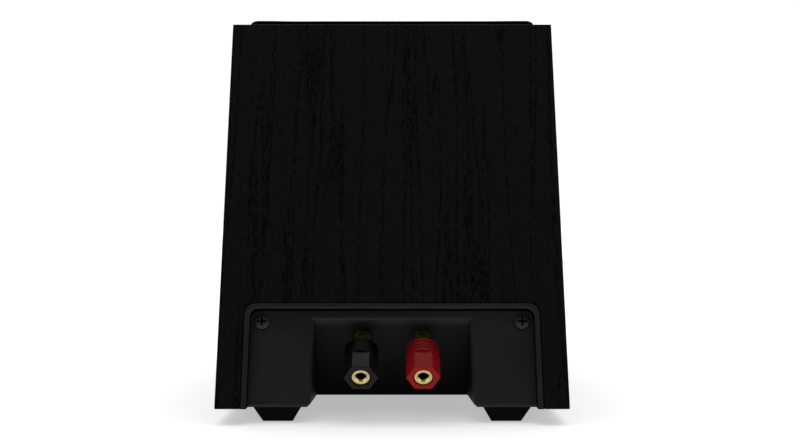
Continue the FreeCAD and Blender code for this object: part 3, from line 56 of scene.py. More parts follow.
MM = 0.001
LEAN = math.radians(20.0)
RECESS_LEAN = math.radians(35.0)


# ---------------------------------------------------------------- frames

def frame_along(origin, along):
    """A frame whose X runs across the cabinet and whose Y runs along a direction of its profile."""
    across = Vector((1, 0, 0))
    made = Matrix((across, along, across.cross(along))).transposed().to_4x4()
    made.translation = origin
    return made


def moved(matrix, x=0.0, y=0.0, z=0.0):
    """A frame moved along its own axes, in millimetres."""
    return matrix @ Matrix.Translation((x * MM, y * MM, z * MM))


BACK_LOW, BACK_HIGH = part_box("rear_panel")
BOTTOM_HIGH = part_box("bottom_panel")[1]
BAFFLE_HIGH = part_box("baffle_panel")[1]
UP_BACK = Vector((0, math.sin(LEAN), math.cos(LEAN)))
DOWN_BAFFLE = Vector((0, math.cos(LEAN), -math.sin(LEAN)))
INTO_BACK = DOWN_BAFFLE  # the baffle is square to the back
UP_RECESS = Vector((0, -math.sin(RECESS_LEAN), math.cos(RECESS_LEAN)))
INTO_RECESS = Vector((0, math.cos(RECESS_LEAN), math.sin(RECESS_LEAN)))
BACK_EDGE = Vector((0, BACK_LOW.y, BACK_LOW.z))
TOP_EDGE = BACK_EDGE + UP_BACK * ((BACK_HIGH.z - BACK_LOW.z) / math.cos(LEAN))
BAFFLE_LENGTH = (BAFFLE_HIGH.y - TOP_EDGE.y) / math.cos(LEAN)
FRONT_EDGE = TOP_EDGE + DOWN_BAFFLE * BAFFLE_LENGTH
FRONT_FOOT = Vector((0, BOTTOM_HIGH.y, BACK_LOW.z))
HALF_WIDTH = BACK_HIGH.x

REAR = frame_along(BACK_EDGE, UP_BACK)
BAFFLE = frame_along(TOP_EDGE, DOWN_BAFFLE)
RECESS_TOP_MM = 40.6
PLATE_DEPTH_MM = 5.0
NUT_FOOT_MM = 9.4  # from the recess's floor
RECESS = frame_along(moved(REAR, 0, RECESS_TOP_MM, -PLATE_DEPTH_MM).translation, UP_RECESS)
WOOFER_PLACE_MM = 160.0
TWEETER_PLACE_MM = 57.0
WOOFER = moved(BAFFLE, 0, WOOFER_PLACE_MM)
TWEETER = moved(BAFFLE, 0, TWEETER_PLACE_MM)

# How far in metres the back, the cup's plate and the recess's floor lie along INTO_BACK or INTO_RECESS.
BACK_AT = BACK_EDGE @ INTO_BACK
PLATE_AT = BACK_AT + PLATE_DEPTH_MM * MM
FLOOR_AT = RECESS.translation @ INTO_RECESS


# ---------------------------------------------------------------- mesh helpers

def linear(*levels):
    """A colour from 0 to 255 levels, as the renderer's linear values."""
    shares = [level / 255 for level in levels]
    made = [share / 12.92 if share <= 0.04 else ((share + 0.055) / 1.055) ** 2.4 for share in shares]
    return (*made, 1.0)


def settle(name, bm, finish, body, nodes, matrix=None, smooth_angle=35.0):
    """Turns a bmesh into a named piece that rides on a body and stands for some CAD nodes."""
    mesh = bpy.data.meshes.new(name)
    bm.to_mesh(mesh)
    bm.free()
    made = bpy.data.objects.new(name, mesh)
    bpy.context.scene.collection.objects.link(made)
    mesh.materials.append(finish)
    for face in mesh.polygons:
        face.use_smooth = smooth_angle > 0
    if smooth_angle > 0:
        mesh.set_sharp_from_angle(angle=math.radians(smooth_angle))
    if matrix is not None:
        made.matrix_world = matrix
    if body:
        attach(made, body)
    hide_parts(*nodes)
    return made


def softened(corners, steps=4):
    """A closed profile of (radius, height, rounding) corners with each corner rounded."""
    points = []
    for k, (radius, height, rounding) in enumerate(corners):
        here = Vector((radius, height))
        if rounding <= 0:
            points.append(here)
            continue
        before = Vector(corners[k - 1][:2]) - here
        after = Vector(corners[(k + 1) % len(corners)][:2]) - here
        reach = min(rounding, 0.45 * before.length, 0.45 * after.length)
        start = here + before.normalized() * reach
        end = here + after.normalized() * reach
        for step in range(steps + 1):
            t = step / steps
            points.append(start * (1 - t) ** 2 + here * (2 * t * (1 - t)) + end * t ** 2)
    return points


def lathe(profile, turns=96, first=0.0, sweep=360.0):
    """A closed profile of (radius, height) points in millimetres, turned about Z."""
    bm = bmesh.new()
    whole = sweep >= 360.0
    count = turns if whole else turns + 1
    angles = [math.radians(first + sweep * k / turns) for k in range(count)]
    rings = []
    for point in profile:
        radius, height = point[0] * MM, point[1] * MM
        if radius < 1e-7:
            rings.append([bm.verts.new((0, 0, height))])
        else:
            rings.append([bm.verts.new((radius * math.cos(a), radius * math.sin(a), height)) for a in angles])
    for k, ring in enumerate(rings):
        other = rings[(k + 1) % len(rings)]
        if len(ring) == 1 and len(other) == 1:
            continue
        for j in range(turns):
            following = (j + 1) % count
            corners = [ring[j % len(ring)], ring[following % len(ring)],
                       other[following % len(other)], other[j % len(other)]]
            unique = list(dict.fromkeys(corners))
            bm.faces.new(unique)
    if not whole:
        bm.faces.new([ring[0] for ring in rings])
        bm.faces.new([ring[-1] for ring in rings[::-1]])
    bmesh.ops.recalc_face_normals(bm, faces=bm.faces)
    return bm


def scratch_object(bm):
    """A helper object for one boolean step; it is removed afterwards."""
    mesh = bpy.data.meshes.new("helper")
    bm.to_mesh(mesh)
    bm.free()
    made = bpy.data.objects.new("helper", mesh)
    bpy.context.scene.collection.objects.link(made)
    return made


def combined(base, tool, operation):
    """The bmesh that a boolean of two bmeshes gives."""
    base_object = scratch_object(base)
    tool_object = scratch_object(tool)
    step = base_object.modifiers.new("step", "BOOLEAN")
    step.operation = operation
    step.object = tool_object
    step.solver = "EXACT"
    bpy.context.view_layer.update()
    depsgraph = bpy.context.evaluated_depsgraph_get()
    mesh = bpy.data.meshes.new_from_object(base_object.evaluated_get(depsgraph))
    result = bmesh.new()
    result.from_mesh(mesh)
    for helper in (base_object, tool_object):
        bpy.data.objects.remove(helper)
    return result


def node_surface(node):
    """A CAD node's mesh as one closed surface."""
    bm = bmesh.new()
    bm.from_mesh(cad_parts[node].data)
    bmesh.ops.remove_doubles(bm, verts=bm.verts, dist=2e-6)
    return bm


# ---------------------------------------------------------------- material kit

class Finish:
    """A procedural material: a Principled shader whose colour, roughness and relief vary."""

    def __init__(self, name, roughness, specular=0.5, metallic=0.0):
        self.material = bpy.data.materials.new(name)
        self.material.use_nodes = True
        self.tree = self.material.node_tree
        self.shader = [node for node in self.tree.nodes if node.type == "BSDF_PRINCIPLED"][0]
        self.shader.inputs["Roughness"].default_value = roughness
        self.shader.inputs["Specular IOR Level"].default_value = specular
        self.shader.inputs["Metallic"].default_value = metallic
        self.normal = None

    def node(self, kind, settings=None, sockets=None):
        """A new node; a socket's setting is a number or another node's output."""
        made = self.tree.nodes.new("ShaderNode" + kind)
        for key, value in (settings or {}).items():
            setattr(made, key, value)
        for key, value in (sockets or {}).items():
            self.put(made.inputs[key], value)
        return made

    def put(self, socket, value):
        """Links an output to a socket, or sets the socket's own value."""
        if isinstance(value, bpy.types.NodeSocket):
            self.tree.links.new(value, socket)
        else:
            socket.default_value = value

    def place(self, turn=0.0):
        """Object coordinates turned about X, so that Z can run along a leaning surface's grain."""
        where = self.node("TexCoord").outputs["Object"]
        return self.node("Mapping", sockets={"Vector": where, "Rotation": (turn, 0, 0)}).outputs[0]

    def scaled(self, where, x, y, z):
        """Coordinates scaled by features per metre along each axis."""
        return self.node("Mapping", sockets={"Vector": where, "Scale": (x, y, z)}).outputs[0]

    def noise(self, where, detail=2.0, rough=0.5):
        """Noise with one feature per unit of its coordinates."""
        sockets = {"Vector": where, "Scale": 1.0, "Detail": detail, "Roughness": rough}
        return self.node("TexNoise", sockets=sockets).outputs[0]

    def cells(self, where):
        """The distance to the nearest of scattered points."""
        return self.node("TexVoronoi", sockets={"Vector": where, "Scale": 1.0}).outputs["Distance"]

    def math(self, operation, *values):
        """A Math node over up to three values."""
        return self.node("Math", {"operation": operation}, dict(enumerate(values))).outputs[0]

    def axis(self, where, index):
        """One component of a vector."""
        return self.node("SeparateXYZ", sockets={0: where}).outputs[index]

    def remap(self, value, low, high, to_low=0.0, to_high=1.0):
        """A value's range low to high taken smoothly to another range."""
        sockets = {"Value": value, "From Min": low, "From Max": high, "To Min": to_low, "To Max": to_high}
        return self.node("MapRange", {"interpolation_type": "SMOOTHSTEP"}, sockets).outputs[0]

    def mix(self, factor, first, second):
        """A colour between two."""
        made = self.node("Mix", {"data_type": "RGBA"})
        self.put(made.inputs[0], factor)
        self.put(made.inputs[6], first)
        self.put(made.inputs[7], second)
        return made.outputs[2]

    def paint(self, colour):
        self.put(self.shader.inputs["Base Color"], colour)

    def shine(self, roughness):
        self.put(self.shader.inputs["Roughness"], roughness)

    def gloss(self, level):
        """How strongly the surface reflects: a level or another node's output."""
        self.put(self.shader.inputs["Specular IOR Level"], level)

    def relief(self, height, depth):
        """Adds relief of a depth in metres over what is there already."""
        sockets = {"Strength": 1.0, "Distance": depth, "Height": height}
        if self.normal is not None:
            sockets["Normal"] = self.normal
        self.normal = self.node("Bump", sockets=sockets).outputs[0]
        self.put(self.shader.inputs["Normal"], self.normal)

    def sheen(self, weight):
        self.shader.inputs["Sheen Weight"].default_value = weight
        self.shader.inputs["Sheen Roughness"].default_value = 0.4


def shaded(colour, share):
    """A linear colour times a share."""
    return (*[channel * share for channel in colour[:3]], 1.0)


# ---------------------------------------------------------------- materials

def ash_vinyl(name, turn):
    """Black ash vinyl: fine fibre, with thin broken pores gathered along meandering columns."""
    f = Finish(name, 0.6, specular=0.05)
    grain = f.place(turn)
    fibre = f.noise(f.scaled(grain, 1500, 1500, 450), rough=0.55)
    tone = f.noise(f.scaled(grain, 16, 16, 3))
    dashes = f.noise(f.scaled(grain, 1500, 1500, 330), rough=0.65)
    columns = []
    for across, along, width in ((52, 2, 0.026), (105, 5, 0.05)):
        wander = f.noise(f.scaled(grain, across, across, along))
        off_line = f.math("ABSOLUTE", f.math("SUBTRACT", wander, 0.5))
        columns.append(f.remap(off_line, 0.0, width, 1.0, 0.0))
    gathered = f.math("MULTIPLY", f.math("MAXIMUM", *columns), f.remap(dashes, 0.43, 0.56))
    single = f.noise(f.scaled(grain, 1300, 1300, 260), rough=0.6)
    pores = f.math("MAXIMUM", gathered, f.remap(single, 0.62, 0.7, 0.0, 0.7))
    body = f.mix(f.remap(fibre, 0.36, 0.66), linear(9, 9, 9), linear(16, 16, 16))
    body = f.mix(f.remap(tone, 0.35, 0.65, 0.0, 0.3), body, linear(14, 14, 14))
    f.paint(f.mix(pores, body, linear(1, 1, 1)))
    f.shine(f.remap(pores, 0.0, 1.0, 0.58, 0.85))
    f.relief(f.remap(pores, 0.0, 1.0, 1.0, 0.0), 0.00005)
    f.relief(fibre, 0.000012)
    return f.material


def moulded(name, colour, roughness, specular, tone=0.82):
    """Injection-moulded plastic: a spark-eroded grain and slow changes of tone and gloss."""
    f = Finish(name, roughness, specular)
    where = f.place()
    speck = f.noise(f.scaled(where, 2400, 2400, 2400), detail=2.0)
    flow = f.noise(f.scaled(where, 45, 45, 45))
    rubbed = f.noise(f.scaled(where, 260, 260, 260), detail=4.0)
    body = f.mix(f.remap(flow, 0.35, 0.65), shaded(colour, tone), colour)
    f.paint(f.mix(f.remap(speck, 0.55, 0.75, 0.0, 0.25), body, shaded(colour, 1.3)))
    f.shine(f.remap(rubbed, 0.3, 0.7, roughness - 0.07, roughness + 0.07))
    f.relief(speck, 0.000012)
    return f.material


def satin_paint(name, colour, roughness, specular):
    """Sprayed satin paint with a little orange peel and dust."""
    f = Finish(name, roughness, specular)
    where = f.place()
    waves = f.noise(f.scaled(where, 700, 700, 700), detail=1.0)
    dust = f.noise(f.scaled(where, 3000, 3000, 3000))
    cloud = f.noise(f.scaled(where, 30, 30, 30))
    f.paint(f.mix(f.remap(cloud, 0.3, 0.7), shaded(colour, 0.8), colour))
    f.shine(f.remap(dust, 0.4, 0.7, roughness - 0.05, roughness + 0.08))
    f.relief(waves, 0.00002)
    return f.material


def fibre_board(name, colour):
    """Pressed fibre board: short fibres of mixed tone."""
    f = Finish(name, 0.85, specular=0.3)
    where = f.place()
    flecks = f.noise(f.scaled(where, 1500, 500, 1500), detail=4.0, rough=0.7)
    cloud = f.noise(f.scaled(where, 60, 60, 60))
    body = f.mix(f.remap(flecks, 0.35, 0.7), shaded(colour, 0.6), shaded(colour, 1.15))
    f.paint(f.mix(f.remap(cloud, 0.4, 0.6, 0.0, 0.35), body, shaded(colour, 0.85)))
    f.shine(f.remap(flecks, 0.3, 0.7, 0.78, 0.95))
    f.relief(flecks, 0.00004)
    return f.material


def foam(name, colour):
    """Closed-cell foam with small open pits."""
    f = Finish(name, 0.95, specular=0.2)
    where = f.place()
    pits = f.cells(f.scaled(where, 1300, 1300, 1300))
    f.paint(f.mix(f.remap(pits, 0.1, 0.5), shaded(colour, 0.4), colour))
    f.shine(f.remap(pits, 0.1, 0.6, 0.98, 0.85))
    f.relief(pits, 0.00008)
    return f.material


def rubber(name, colour, specular):
    """Moulded rubber: matt, with a fine bloom and scuffs."""
    f = Finish(name, 0.75, specular)
    where = f.place()
    bloom = f.noise(f.scaled(where, 120, 120, 120), detail=4.0)
    grit = f.noise(f.scaled(where, 2200, 2200, 2200), detail=3.0)
    f.paint(f.mix(f.remap(bloom, 0.35, 0.7), colour, shaded(colour, 1.5)))
    f.shine(f.remap(bloom, 0.3, 0.7, 0.66, 0.85))
    f.relief(grit, 0.00002)
    return f.material


def turned_metal(name, colour, roughness, pitch=5200):
    """Bright metal with fine lathe marks round its axis and small scratches."""
    f = Finish(name, roughness, metallic=1.0)
    where = f.place()
    marks = f.noise(f.scaled(where, 60, 60, pitch))
    scratches = f.noise(f.scaled(where, 900, 4200, 900), detail=3.0, rough=0.7)
    stain = f.noise(f.scaled(where, 210, 210, 210), detail=3.0)
    f.paint(f.mix(f.remap(stain, 0.4, 0.75), colour, shaded(colour, 0.62)))
    f.shine(f.remap(scratches, 0.35, 0.7, roughness - 0.05, roughness + 0.14))
    f.relief(marks, 0.000012)
    return f.material


def moulding_with_painted_shade(name, colour, roughness, specular):
    """The cup's plastic with painted shade: dark on the rim's inner wall, and dark and without gloss down the
    recess behind the plate, most at its bottom.
    """
    f = Finish(name, roughness, specular)
    where = f.place()
    speck = f.noise(f.scaled(where, 2400, 2400, 2400))
    flow = f.noise(f.scaled(where, 45, 45, 45))
    depth = f.axis(f.place(LEAN), 1)
    behind_plate = f.remap(depth, PLATE_AT + 0.5 * MM, PLATE_AT + 3.5 * MM)
    # painted shade down the recess, stronger towards its bottom
    shade_towards_bottom = f.remap(f.axis(where, 2), BACK_EDGE.z, BACK_EDGE.z + 34 * MM, 0.82, 0.5)
    below_rim = f.remap(depth, BACK_AT + 0.6 * MM, BACK_AT + 1.4 * MM, 0.0, 0.9)
    above_plate = f.remap(depth, PLATE_AT - 0.7 * MM, PLATE_AT - 0.1 * MM, 1.0, 0.0)
    recess_shade = f.math("MULTIPLY", behind_plate, shade_towards_bottom)
    # painted shade on the rim's inner wall, from just below the rim's top down to the plate
    rim_wall_shade = f.math("MULTIPLY", below_rim, above_plate)
    shade = f.math("MAXIMUM", recess_shade, rim_wall_shade)
    body = f.mix(f.remap(flow, 0.35, 0.65), shaded(colour, 0.85), colour)
    body = f.mix(f.remap(speck, 0.55, 0.75, 0.0, 0.25), body, shaded(colour, 1.3))
    # where the painted shade lies, the plastic goes almost to black and its gloss to nothing
    f.paint(f.mix(shade, body, shaded(colour, 0.02)))
    f.gloss(f.remap(shade, 0.0, 1.0, specular, 0.0))
    f.shine(f.remap(flow, 0.3, 0.7, roughness - 0.06, roughness + 0.06))
    f.relief(speck, 0.000012)
    return f.material


def nut_moulding_with_painted_shade(name, colour, share, roughness, specular):
    """A nut's moulded plastic, with painted shade on the round collar: darker and less glossy there than on
    the hexagon.
    """
    f = Finish(name, roughness, specular)
    where = f.place()
    depth = f.axis(f.place(-RECESS_LEAN), 1)
    # painted shade on the round collar, which sits down in the recess
    collar = f.remap(depth, FLOOR_AT - 18.5 * MM, FLOOR_AT - 16.0 * MM)
    speck = f.noise(f.scaled(where, 2400, 2400, 2400))
    rubbed = f.noise(f.scaled(where, 260, 260, 260), detail=4.0)
    body = f.mix(f.remap(rubbed, 0.35, 0.65), shaded(colour, 0.85), colour)
    f.paint(f.mix(collar, body, shaded(colour, share)))
    f.shine(f.remap(rubbed, 0.3, 0.7, roughness - 0.07, roughness + 0.07))
    f.gloss(f.remap(collar, 0.0, 1.0, specular, specular * share))
    f.relief(speck, 0.000006)
    return f.material


def stud_brass_with_painted_shade(name, bright, painted_shade_colour):
    """A brass stud with painted shade: bright at its mouth, and dark olive between the cup and the nut, round
    the wire hole.
    """
    f = Finish(name, 0.22, metallic=1.0)
    where = f.place()
    stain = f.noise(f.scaled(where, 420, 420, 420), detail=4.0)
    # painted shade: below the nut's foot the stud is dark olive, with random stains in it
    above_painted_shade = f.remap(f.axis(where, 2), (NUT_FOOT_MM - 0.2) * MM, (NUT_FOOT_MM + 0.2) * MM)
    lower = f.mix(f.remap(stain, 0.35, 0.7), painted_shade_colour, shaded(painted_shade_colour, 0.35))
    upper = f.mix(f.remap(stain, 0.4, 0.75), bright, shaded(bright, 0.7))
    f.paint(f.mix(above_painted_shade, lower, upper))
    f.shine(f.remap(above_painted_shade, 0.0, 1.0, 0.5, 0.2))
    f.relief(f.noise(f.scaled(where, 60, 60, 5200)), 0.000012)
    return f.material


def coated_screw(name):
    """Black-coated steel: a satin coat that is worn lighter on the high spots."""
    f = Finish(name, 0.42, specular=0.3)
    where = f.place()
    wear = f.noise(f.scaled(where, 900, 900, 900), detail=4.0, rough=0.65)
    speck = f.noise(f.scaled(where, 4200, 4200, 4200))
    f.paint(f.mix(f.remap(wear, 0.5, 0.72), linear(20, 20, 21), linear(44, 44, 46)))
    f.shine(f.remap(wear, 0.4, 0.7, 0.44, 0.3))
    f.relief(speck, 0.00001)
    return f.material


def screw_coat_with_painted_shade(name):
    """The same coat on the cup's screws, with painted shade in the slots and round the head's edge."""
    f = Finish(name, 0.42, specular=0.3)
    where = f.place()
    depth = f.axis(f.place(LEAN), 1)
    # painted shade: near black and without gloss where the head lies deep, in its slots and round its edge
    painted_slot_shade = f.remap(depth, PLATE_AT - 1.25 * MM, PLATE_AT - 0.95 * MM)
    wear = f.noise(f.scaled(where, 900, 900, 900), detail=4.0, rough=0.65)
    coat = f.mix(f.remap(wear, 0.5, 0.72), linear(22, 22, 23), linear(44, 44, 46))
    f.paint(f.mix(painted_slot_shade, coat, linear(2, 2, 2)))
    f.gloss(f.remap(painted_slot_shade, 0.0, 1.0, 0.3, 0.0))
    f.shine(f.remap(wear, 0.4, 0.7, 0.48, 0.36))
    return f.material


def wound_wire(name, colour, pitch):
    """Enamelled wire wound round an axis, one ridge per turn."""
    f = Finish(name, 0.3, metallic=0.85)
    where = f.place()
    lines = f.math("SINE", f.math("MULTIPLY", f.axis(where, 2), 2 * math.pi * pitch))
    ridge = f.remap(lines, -1.0, 1.0)
    cloud = f.noise(f.scaled(where, 300, 300, 300), detail=3.0)
    body = f.mix(ridge, shaded(colour, 0.25), colour)
    f.paint(f.mix(f.remap(cloud, 0.4, 0.7, 0.0, 0.5), body, shaded(colour, 0.6)))
    f.shine(f.remap(cloud, 0.3, 0.7, 0.22, 0.42))
    f.relief(ridge, 0.0001)
    return f.material


def woven(name, thread, gap, pitch, roughness, depth, sheen=0.0, specular=0.3):
    """A plain weave of round threads, with a slightly uneven lay."""
    f = Finish(name, roughness, specular)
    where = f.place()
    drift = f.noise(f.scaled(where, 90, 90, 90))
    turn = 2 * math.pi * pitch
    warp = f.math("MULTIPLY_ADD", f.axis(where, 0), turn, f.math("MULTIPLY", drift, 3.0))
    weft = f.math("MULTIPLY_ADD", f.axis(where, 1), turn, f.math("MULTIPLY", f.axis(where, 2), turn))
    over = f.math("MULTIPLY", f.math("SINE", warp), f.math("SINE", weft))
    threads = f.remap(f.math("ABSOLUTE", over), 0.02, 0.7)
    tone = f.noise(f.scaled(where, 500, 60, 500), detail=3.0)
    body = f.mix(f.remap(tone, 0.35, 0.65), shaded(thread, 0.7), shaded(thread, 1.25))
    f.paint(f.mix(threads, gap, body))
    f.shine(f.remap(threads, 0.0, 1.0, 1.0, roughness))
    f.relief(threads, depth)
    f.relief(f.remap(over, -1.0, 1.0), depth * 0.5)
    f.sheen(sheen)
    return f.material


def pressed_cone(name):
    """Filled polypropylene: a mottled dark cone with faint pressing marks."""
    f = Finish(name, 0.42, specular=0.35)
    where = f.place()
    mottle = f.noise(f.scaled(where, 420, 420, 420), detail=4.0, rough=0.65)
    fleck = f.cells(f.scaled(where, 900, 900, 900))
    body = f.mix(f.remap(mottle, 0.35, 0.65), linear(20, 20, 21), linear(38, 38, 40))
    f.paint(f.mix(f.remap(fleck, 0.0, 0.12, 0.5, 0.0), body, linear(70, 70, 74)))
    f.shine(f.remap(mottle, 0.3, 0.7, 0.34, 0.5))
    f.relief(mottle, 0.00004)
    return f.material


def sintered(name, colour):
    """Sintered ferrite: a chalky dark grey with ground faces."""
    f = Finish(name, 0.6, specular=0.4)
    where = f.place()
    grit = f.noise(f.scaled(where, 1600, 1600, 1600), detail=4.0, rough=0.7)
    stain = f.noise(f.scaled(where, 80, 80, 80), detail=3.0)
    f.paint(f.mix(f.remap(grit, 0.35, 0.65), shaded(colour, 0.65), shaded(colour, 1.3)))
    f.shine(f.remap(stain, 0.35, 0.65, 0.5, 0.72))
    f.relief(grit, 0.00003)
    return f.material


def laminate(name):
    """A brown phenolic board with faint paper fibres."""
    f = Finish(name, 0.5, specular=0.4)
    where = f.place()
    fibres = f.noise(f.scaled(where, 220, 1400, 1400), detail=3.0)
    cloud = f.noise(f.scaled(where, 70, 70, 70))
    body = f.mix(f.remap(fibres, 0.35, 0.65), linear(120, 78, 40), linear(158, 108, 60))
    f.paint(f.mix(f.remap(cloud, 0.4, 0.65, 0.0, 0.4), body, linear(104, 66, 34)))
    f.shine(f.remap(cloud, 0.3, 0.7, 0.4, 0.6))
    f.relief(fibres, 0.00002)
    return f.material


def wadding_fibre(name):
    """Polyester wadding: loose pale fibres with soft shadows between tufts."""
    f = Finish(name, 0.95, specular=0.15)
    where = f.place()
    tufts = f.noise(f.scaled(where, 160, 160, 160), detail=5.0, rough=0.7)
    strands = f.noise(f.scaled(where, 2600, 300, 900), detail=4.0, rough=0.7)
    body = f.mix(f.remap(tufts, 0.3, 0.7), linear(176, 178, 182), linear(232, 232, 230))
    f.paint(f.mix(f.remap(strands, 0.4, 0.62, 0.0, 0.4), body, linear(246, 246, 244)))
    f.shine(f.remap(tufts, 0.3, 0.7, 1.0, 0.85))
    f.relief(tufts, 0.0012)
    f.relief(strands, 0.0003)
    f.sheen(0.35)
    return f.material


def pale_floor():
    """The plain pale floor, lifted a little so that the contact shadow stays soft."""
    f = Finish("studio_floor", 0.9, specular=0.1)
    f.shader.inputs["Emission Color"].default_value = (1.0, 1.0, 1.0, 1.0)
    f.shader.inputs["Emission Strength"].default_value = 0.45
    cloud = f.noise(f.scaled(f.place(), 3, 3, 3))
    f.paint(f.mix(cloud, (0.86, 0.86, 0.86, 1.0), (0.88, 0.88, 0.88, 1.0)))
    return f.material


VINYL_UPRIGHT = ash_vinyl("black_ash_vinyl_upright", LEAN)
VINYL_LEVEL = ash_vinyl("black_ash_vinyl_level", math.pi / 2)
PAINTED_BAFFLE = satin_paint("satin_black_baffle", linear(20, 20, 20), 0.45, 0.25)
# the cup's plastic, with painted shade in the recess and on the rim's inner wall
CUP_PLASTIC = moulding_with_painted_shade("black_moulding", linear(25, 25, 25), 0.48, 0.18)
# the third figure sets how dark the painted shade on each nut's collar is
RED_PLASTIC = nut_moulding_with_painted_shade("red_plastic", linear(136, 12, 18), 0.65, 0.48, 0.13)
BLACK_PLASTIC = nut_moulding_with_painted_shade("black_plastic", linear(13, 13, 13), 0.35, 0.4, 0.14)
FACEPLATE = moulded("faceplate_plastic", linear(26, 26, 27), 0.45, 0.3)
BASKET_PAINT = satin_paint("basket_paint", linear(22, 22, 22), 0.4, 0.35)
SCREW_COAT = coated_screw("black_screws")
GOLD = turned_metal("gold_brass", linear(216, 196, 136), 0.2)
# the second colour is the painted shade on the stud between the cup and the nut
STUD_BRASS = stud_brass_with_painted_shade("stud_brass", linear(216, 196, 136), linear(64, 58, 32))
ZINC = turned_metal("zinc_steel", linear(188, 190, 194), 0.34)
NICKEL = turned_metal("nickel", linear(200, 198, 190), 0.25)
FOIL = turned_metal("former_foil", linear(206, 150, 66), 0.35, pitch=900)
COPPER = wound_wire("copper_wire", linear(214, 116, 62), 1400)
FOOT_RUBBER = rubber("foot_rubber", linear(5, 5, 5), 0.04)
SURROUND_RUBBER = rubber("surround_rubber", linear(18, 18, 18), 0.35)
SPIDER_CLOTH = woven("spider_cloth", linear(190, 142, 70), linear(90, 60, 26), 1100, 0.7, 0.00012)
DOME_SILK = woven("dome_silk", linear(34, 34, 36), linear(12, 12, 12), 2600, 0.55, 0.00003, sheen=0.2)
GRILLE_FABRIC = woven("grille_fabric", linear(12, 12, 12), linear(2, 2, 2), 900, 0.95, 0.00014, 0.0, 0.02)
BOARD_LAMINATE = laminate("board_laminate")
NYLON = moulded("standoff_nylon", linear(222, 218, 204), 0.5, 0.4, tone=0.92)
CAPACITOR = moulded("capacitor_film", linear(206, 160, 34), 0.32, 0.5, tone=0.85)
CERAMIC = sintered("resistor_ceramic", linear(206, 204, 196))
FERRITE = sintered("ferrite", linear(58, 58, 60))
LEAD_PVC = moulded("lead_pvc", linear(158, 26, 24), 0.4, 0.5, tone=0.75)
WADDING = wadding_fibre("wadding")
BARE_MDF = fibre_board("bare_mdf", linear(176, 136, 92))
GRILLE_BOARD = fibre_board("grille_board", linear(30, 29, 28))
BLACK_FOAM = foam("black_foam", linear(34, 34, 34))

NODE_FINISHES = {
    BARE_MDF: ["cabinet_brace"],
    CUP_PLASTIC: ["terminal_cup"],
    BLACK_FOAM: ["cup_gasket"],
    screw_coat_with_painted_shade("cup_screw_coat"): ["cup_screws"],
    SCREW_COAT: ["driver_screws", "foot_screws"],
    RED_PLASTIC: ["red_nut_cap"],
    BLACK_PLASTIC: ["black_nut_cap"],
    ZINC: ["red_lock_nut", "black_lock_nut", "red_solder_tab", "black_solder_tab", "woofer_top_plate",
           "woofer_yoke", "tweeter_top_plate", "tweeter_yoke"],
    NICKEL: ["baffle_magnets", "grille_magnets"],
    BASKET_PAINT: ["woofer_basket"],
    FERRITE: ["woofer_magnet", "tweeter_magnet"],
    pressed_cone("cone_polymer"): ["woofer_cone", "woofer_dust_cap"],
    FOIL: ["woofer_coil_former"],
    COPPER: ["woofer_coil_winding", "tweeter_voice_coil", "crossover_inductor"],
    FACEPLATE: ["tweeter_faceplate"],
    DOME_SILK: ["tweeter_dome"],
    BOARD_LAMINATE: ["crossover_board", "driver_tags"],
    NYLON: ["crossover_standoffs"],
    CAPACITOR: ["crossover_capacitor"],
    CERAMIC: ["crossover_resistor"],
    LEAD_PVC: ["input_leads", "woofer_leads", "tweeter_leads"],
    GRILLE_BOARD: ["grille_frame"],
}


def finish_nodes():
    """Gives each CAD node that stays its procedural material."""
    for finish, names in NODE_FINISHES.items():
        for name in names:
            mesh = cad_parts[name].data
            mesh.materials.clear()
            mesh.materials.append(finish)


# ---------------------------------------------------------------- cabinet

EDGE_ROUNDING_MM = 0.5


def cabinet_hull():
    """The cabinet's outside as one solid with every edge rounded."""
    bm = bmesh.new()
    corners = (BACK_EDGE, TOP_EDGE, FRONT_EDGE, FRONT_FOOT)
    sides = []
    for x in (-HALF_WIDTH, HALF_WIDTH):
        sides.append([bm.verts.new(corner + Vector((x, 0, 0))) for corner in corners])
    bm.faces.new(sides[0])
    bm.faces.new(sides[1][::-1])
    for k in range(4):
        n = (k + 1) % 4
        bm.faces.new((sides[0][k], sides[1][k], sides[1][n], sides[0][n]))
    bmesh.ops.recalc_face_normals(bm, faces=bm.faces)
    bmesh.ops.bevel(bm, geom=bm.edges[:], offset=EDGE_ROUNDING_MM * MM, segments=4, profile=0.5,
                    affect="EDGES", offset_type="OFFSET")
    return bm


def make_panels():
    """The six wrapped or painted panels, with the cabinet's outer edges rounded."""
    for node, finish, slot in (
        ("rear_panel", VINYL_UPRIGHT, "black_ash_vinyl"),
        ("left_side_panel", VINYL_UPRIGHT, "black_ash_vinyl"),
        ("right_side_panel", VINYL_UPRIGHT, "black_ash_vinyl"),
        ("front_panel", VINYL_UPRIGHT, "black_ash_vinyl"),
        ("bottom_panel", VINYL_LEVEL, "black_ash_vinyl"),
        ("baffle_panel", PAINTED_BAFFLE, "satin_black_baffle"),
    ):
        bm = combined(node_surface(node), cabinet_hull(), "INTERSECT")
        settle(f"{node}_wrapped", bm, finish, "cabinet", [node], smooth_angle=0)


FOOT_TIP_MM = 6.4
FOOT_HOLE_MM = 1.7
FOOT_BORE_MM = 3.9
FOOT_BORE_DEPTH_MM = 3.8


def tapered_block(half_top, half_tip, height):
    """A square block under the XY plane, narrower at its lower end, with softened edges."""
    bm = bmesh.new()
    bmesh.ops.create_cube(bm, size=1.0)
    for vertex in bm.verts:
        half = half_top if vertex.co.z > 0 else half_tip
        vertex.co = Vector((math.copysign(half, vertex.co.x), math.copysign(half, vertex.co.y),
                            0.0 if vertex.co.z > 0 else -height))
    bmesh.ops.bevel(bm, geom=bm.edges[:], offset=0.35 * MM, segments=3, profile=0.5, affect="EDGES",
                    offset_type="OFFSET")
    return bm


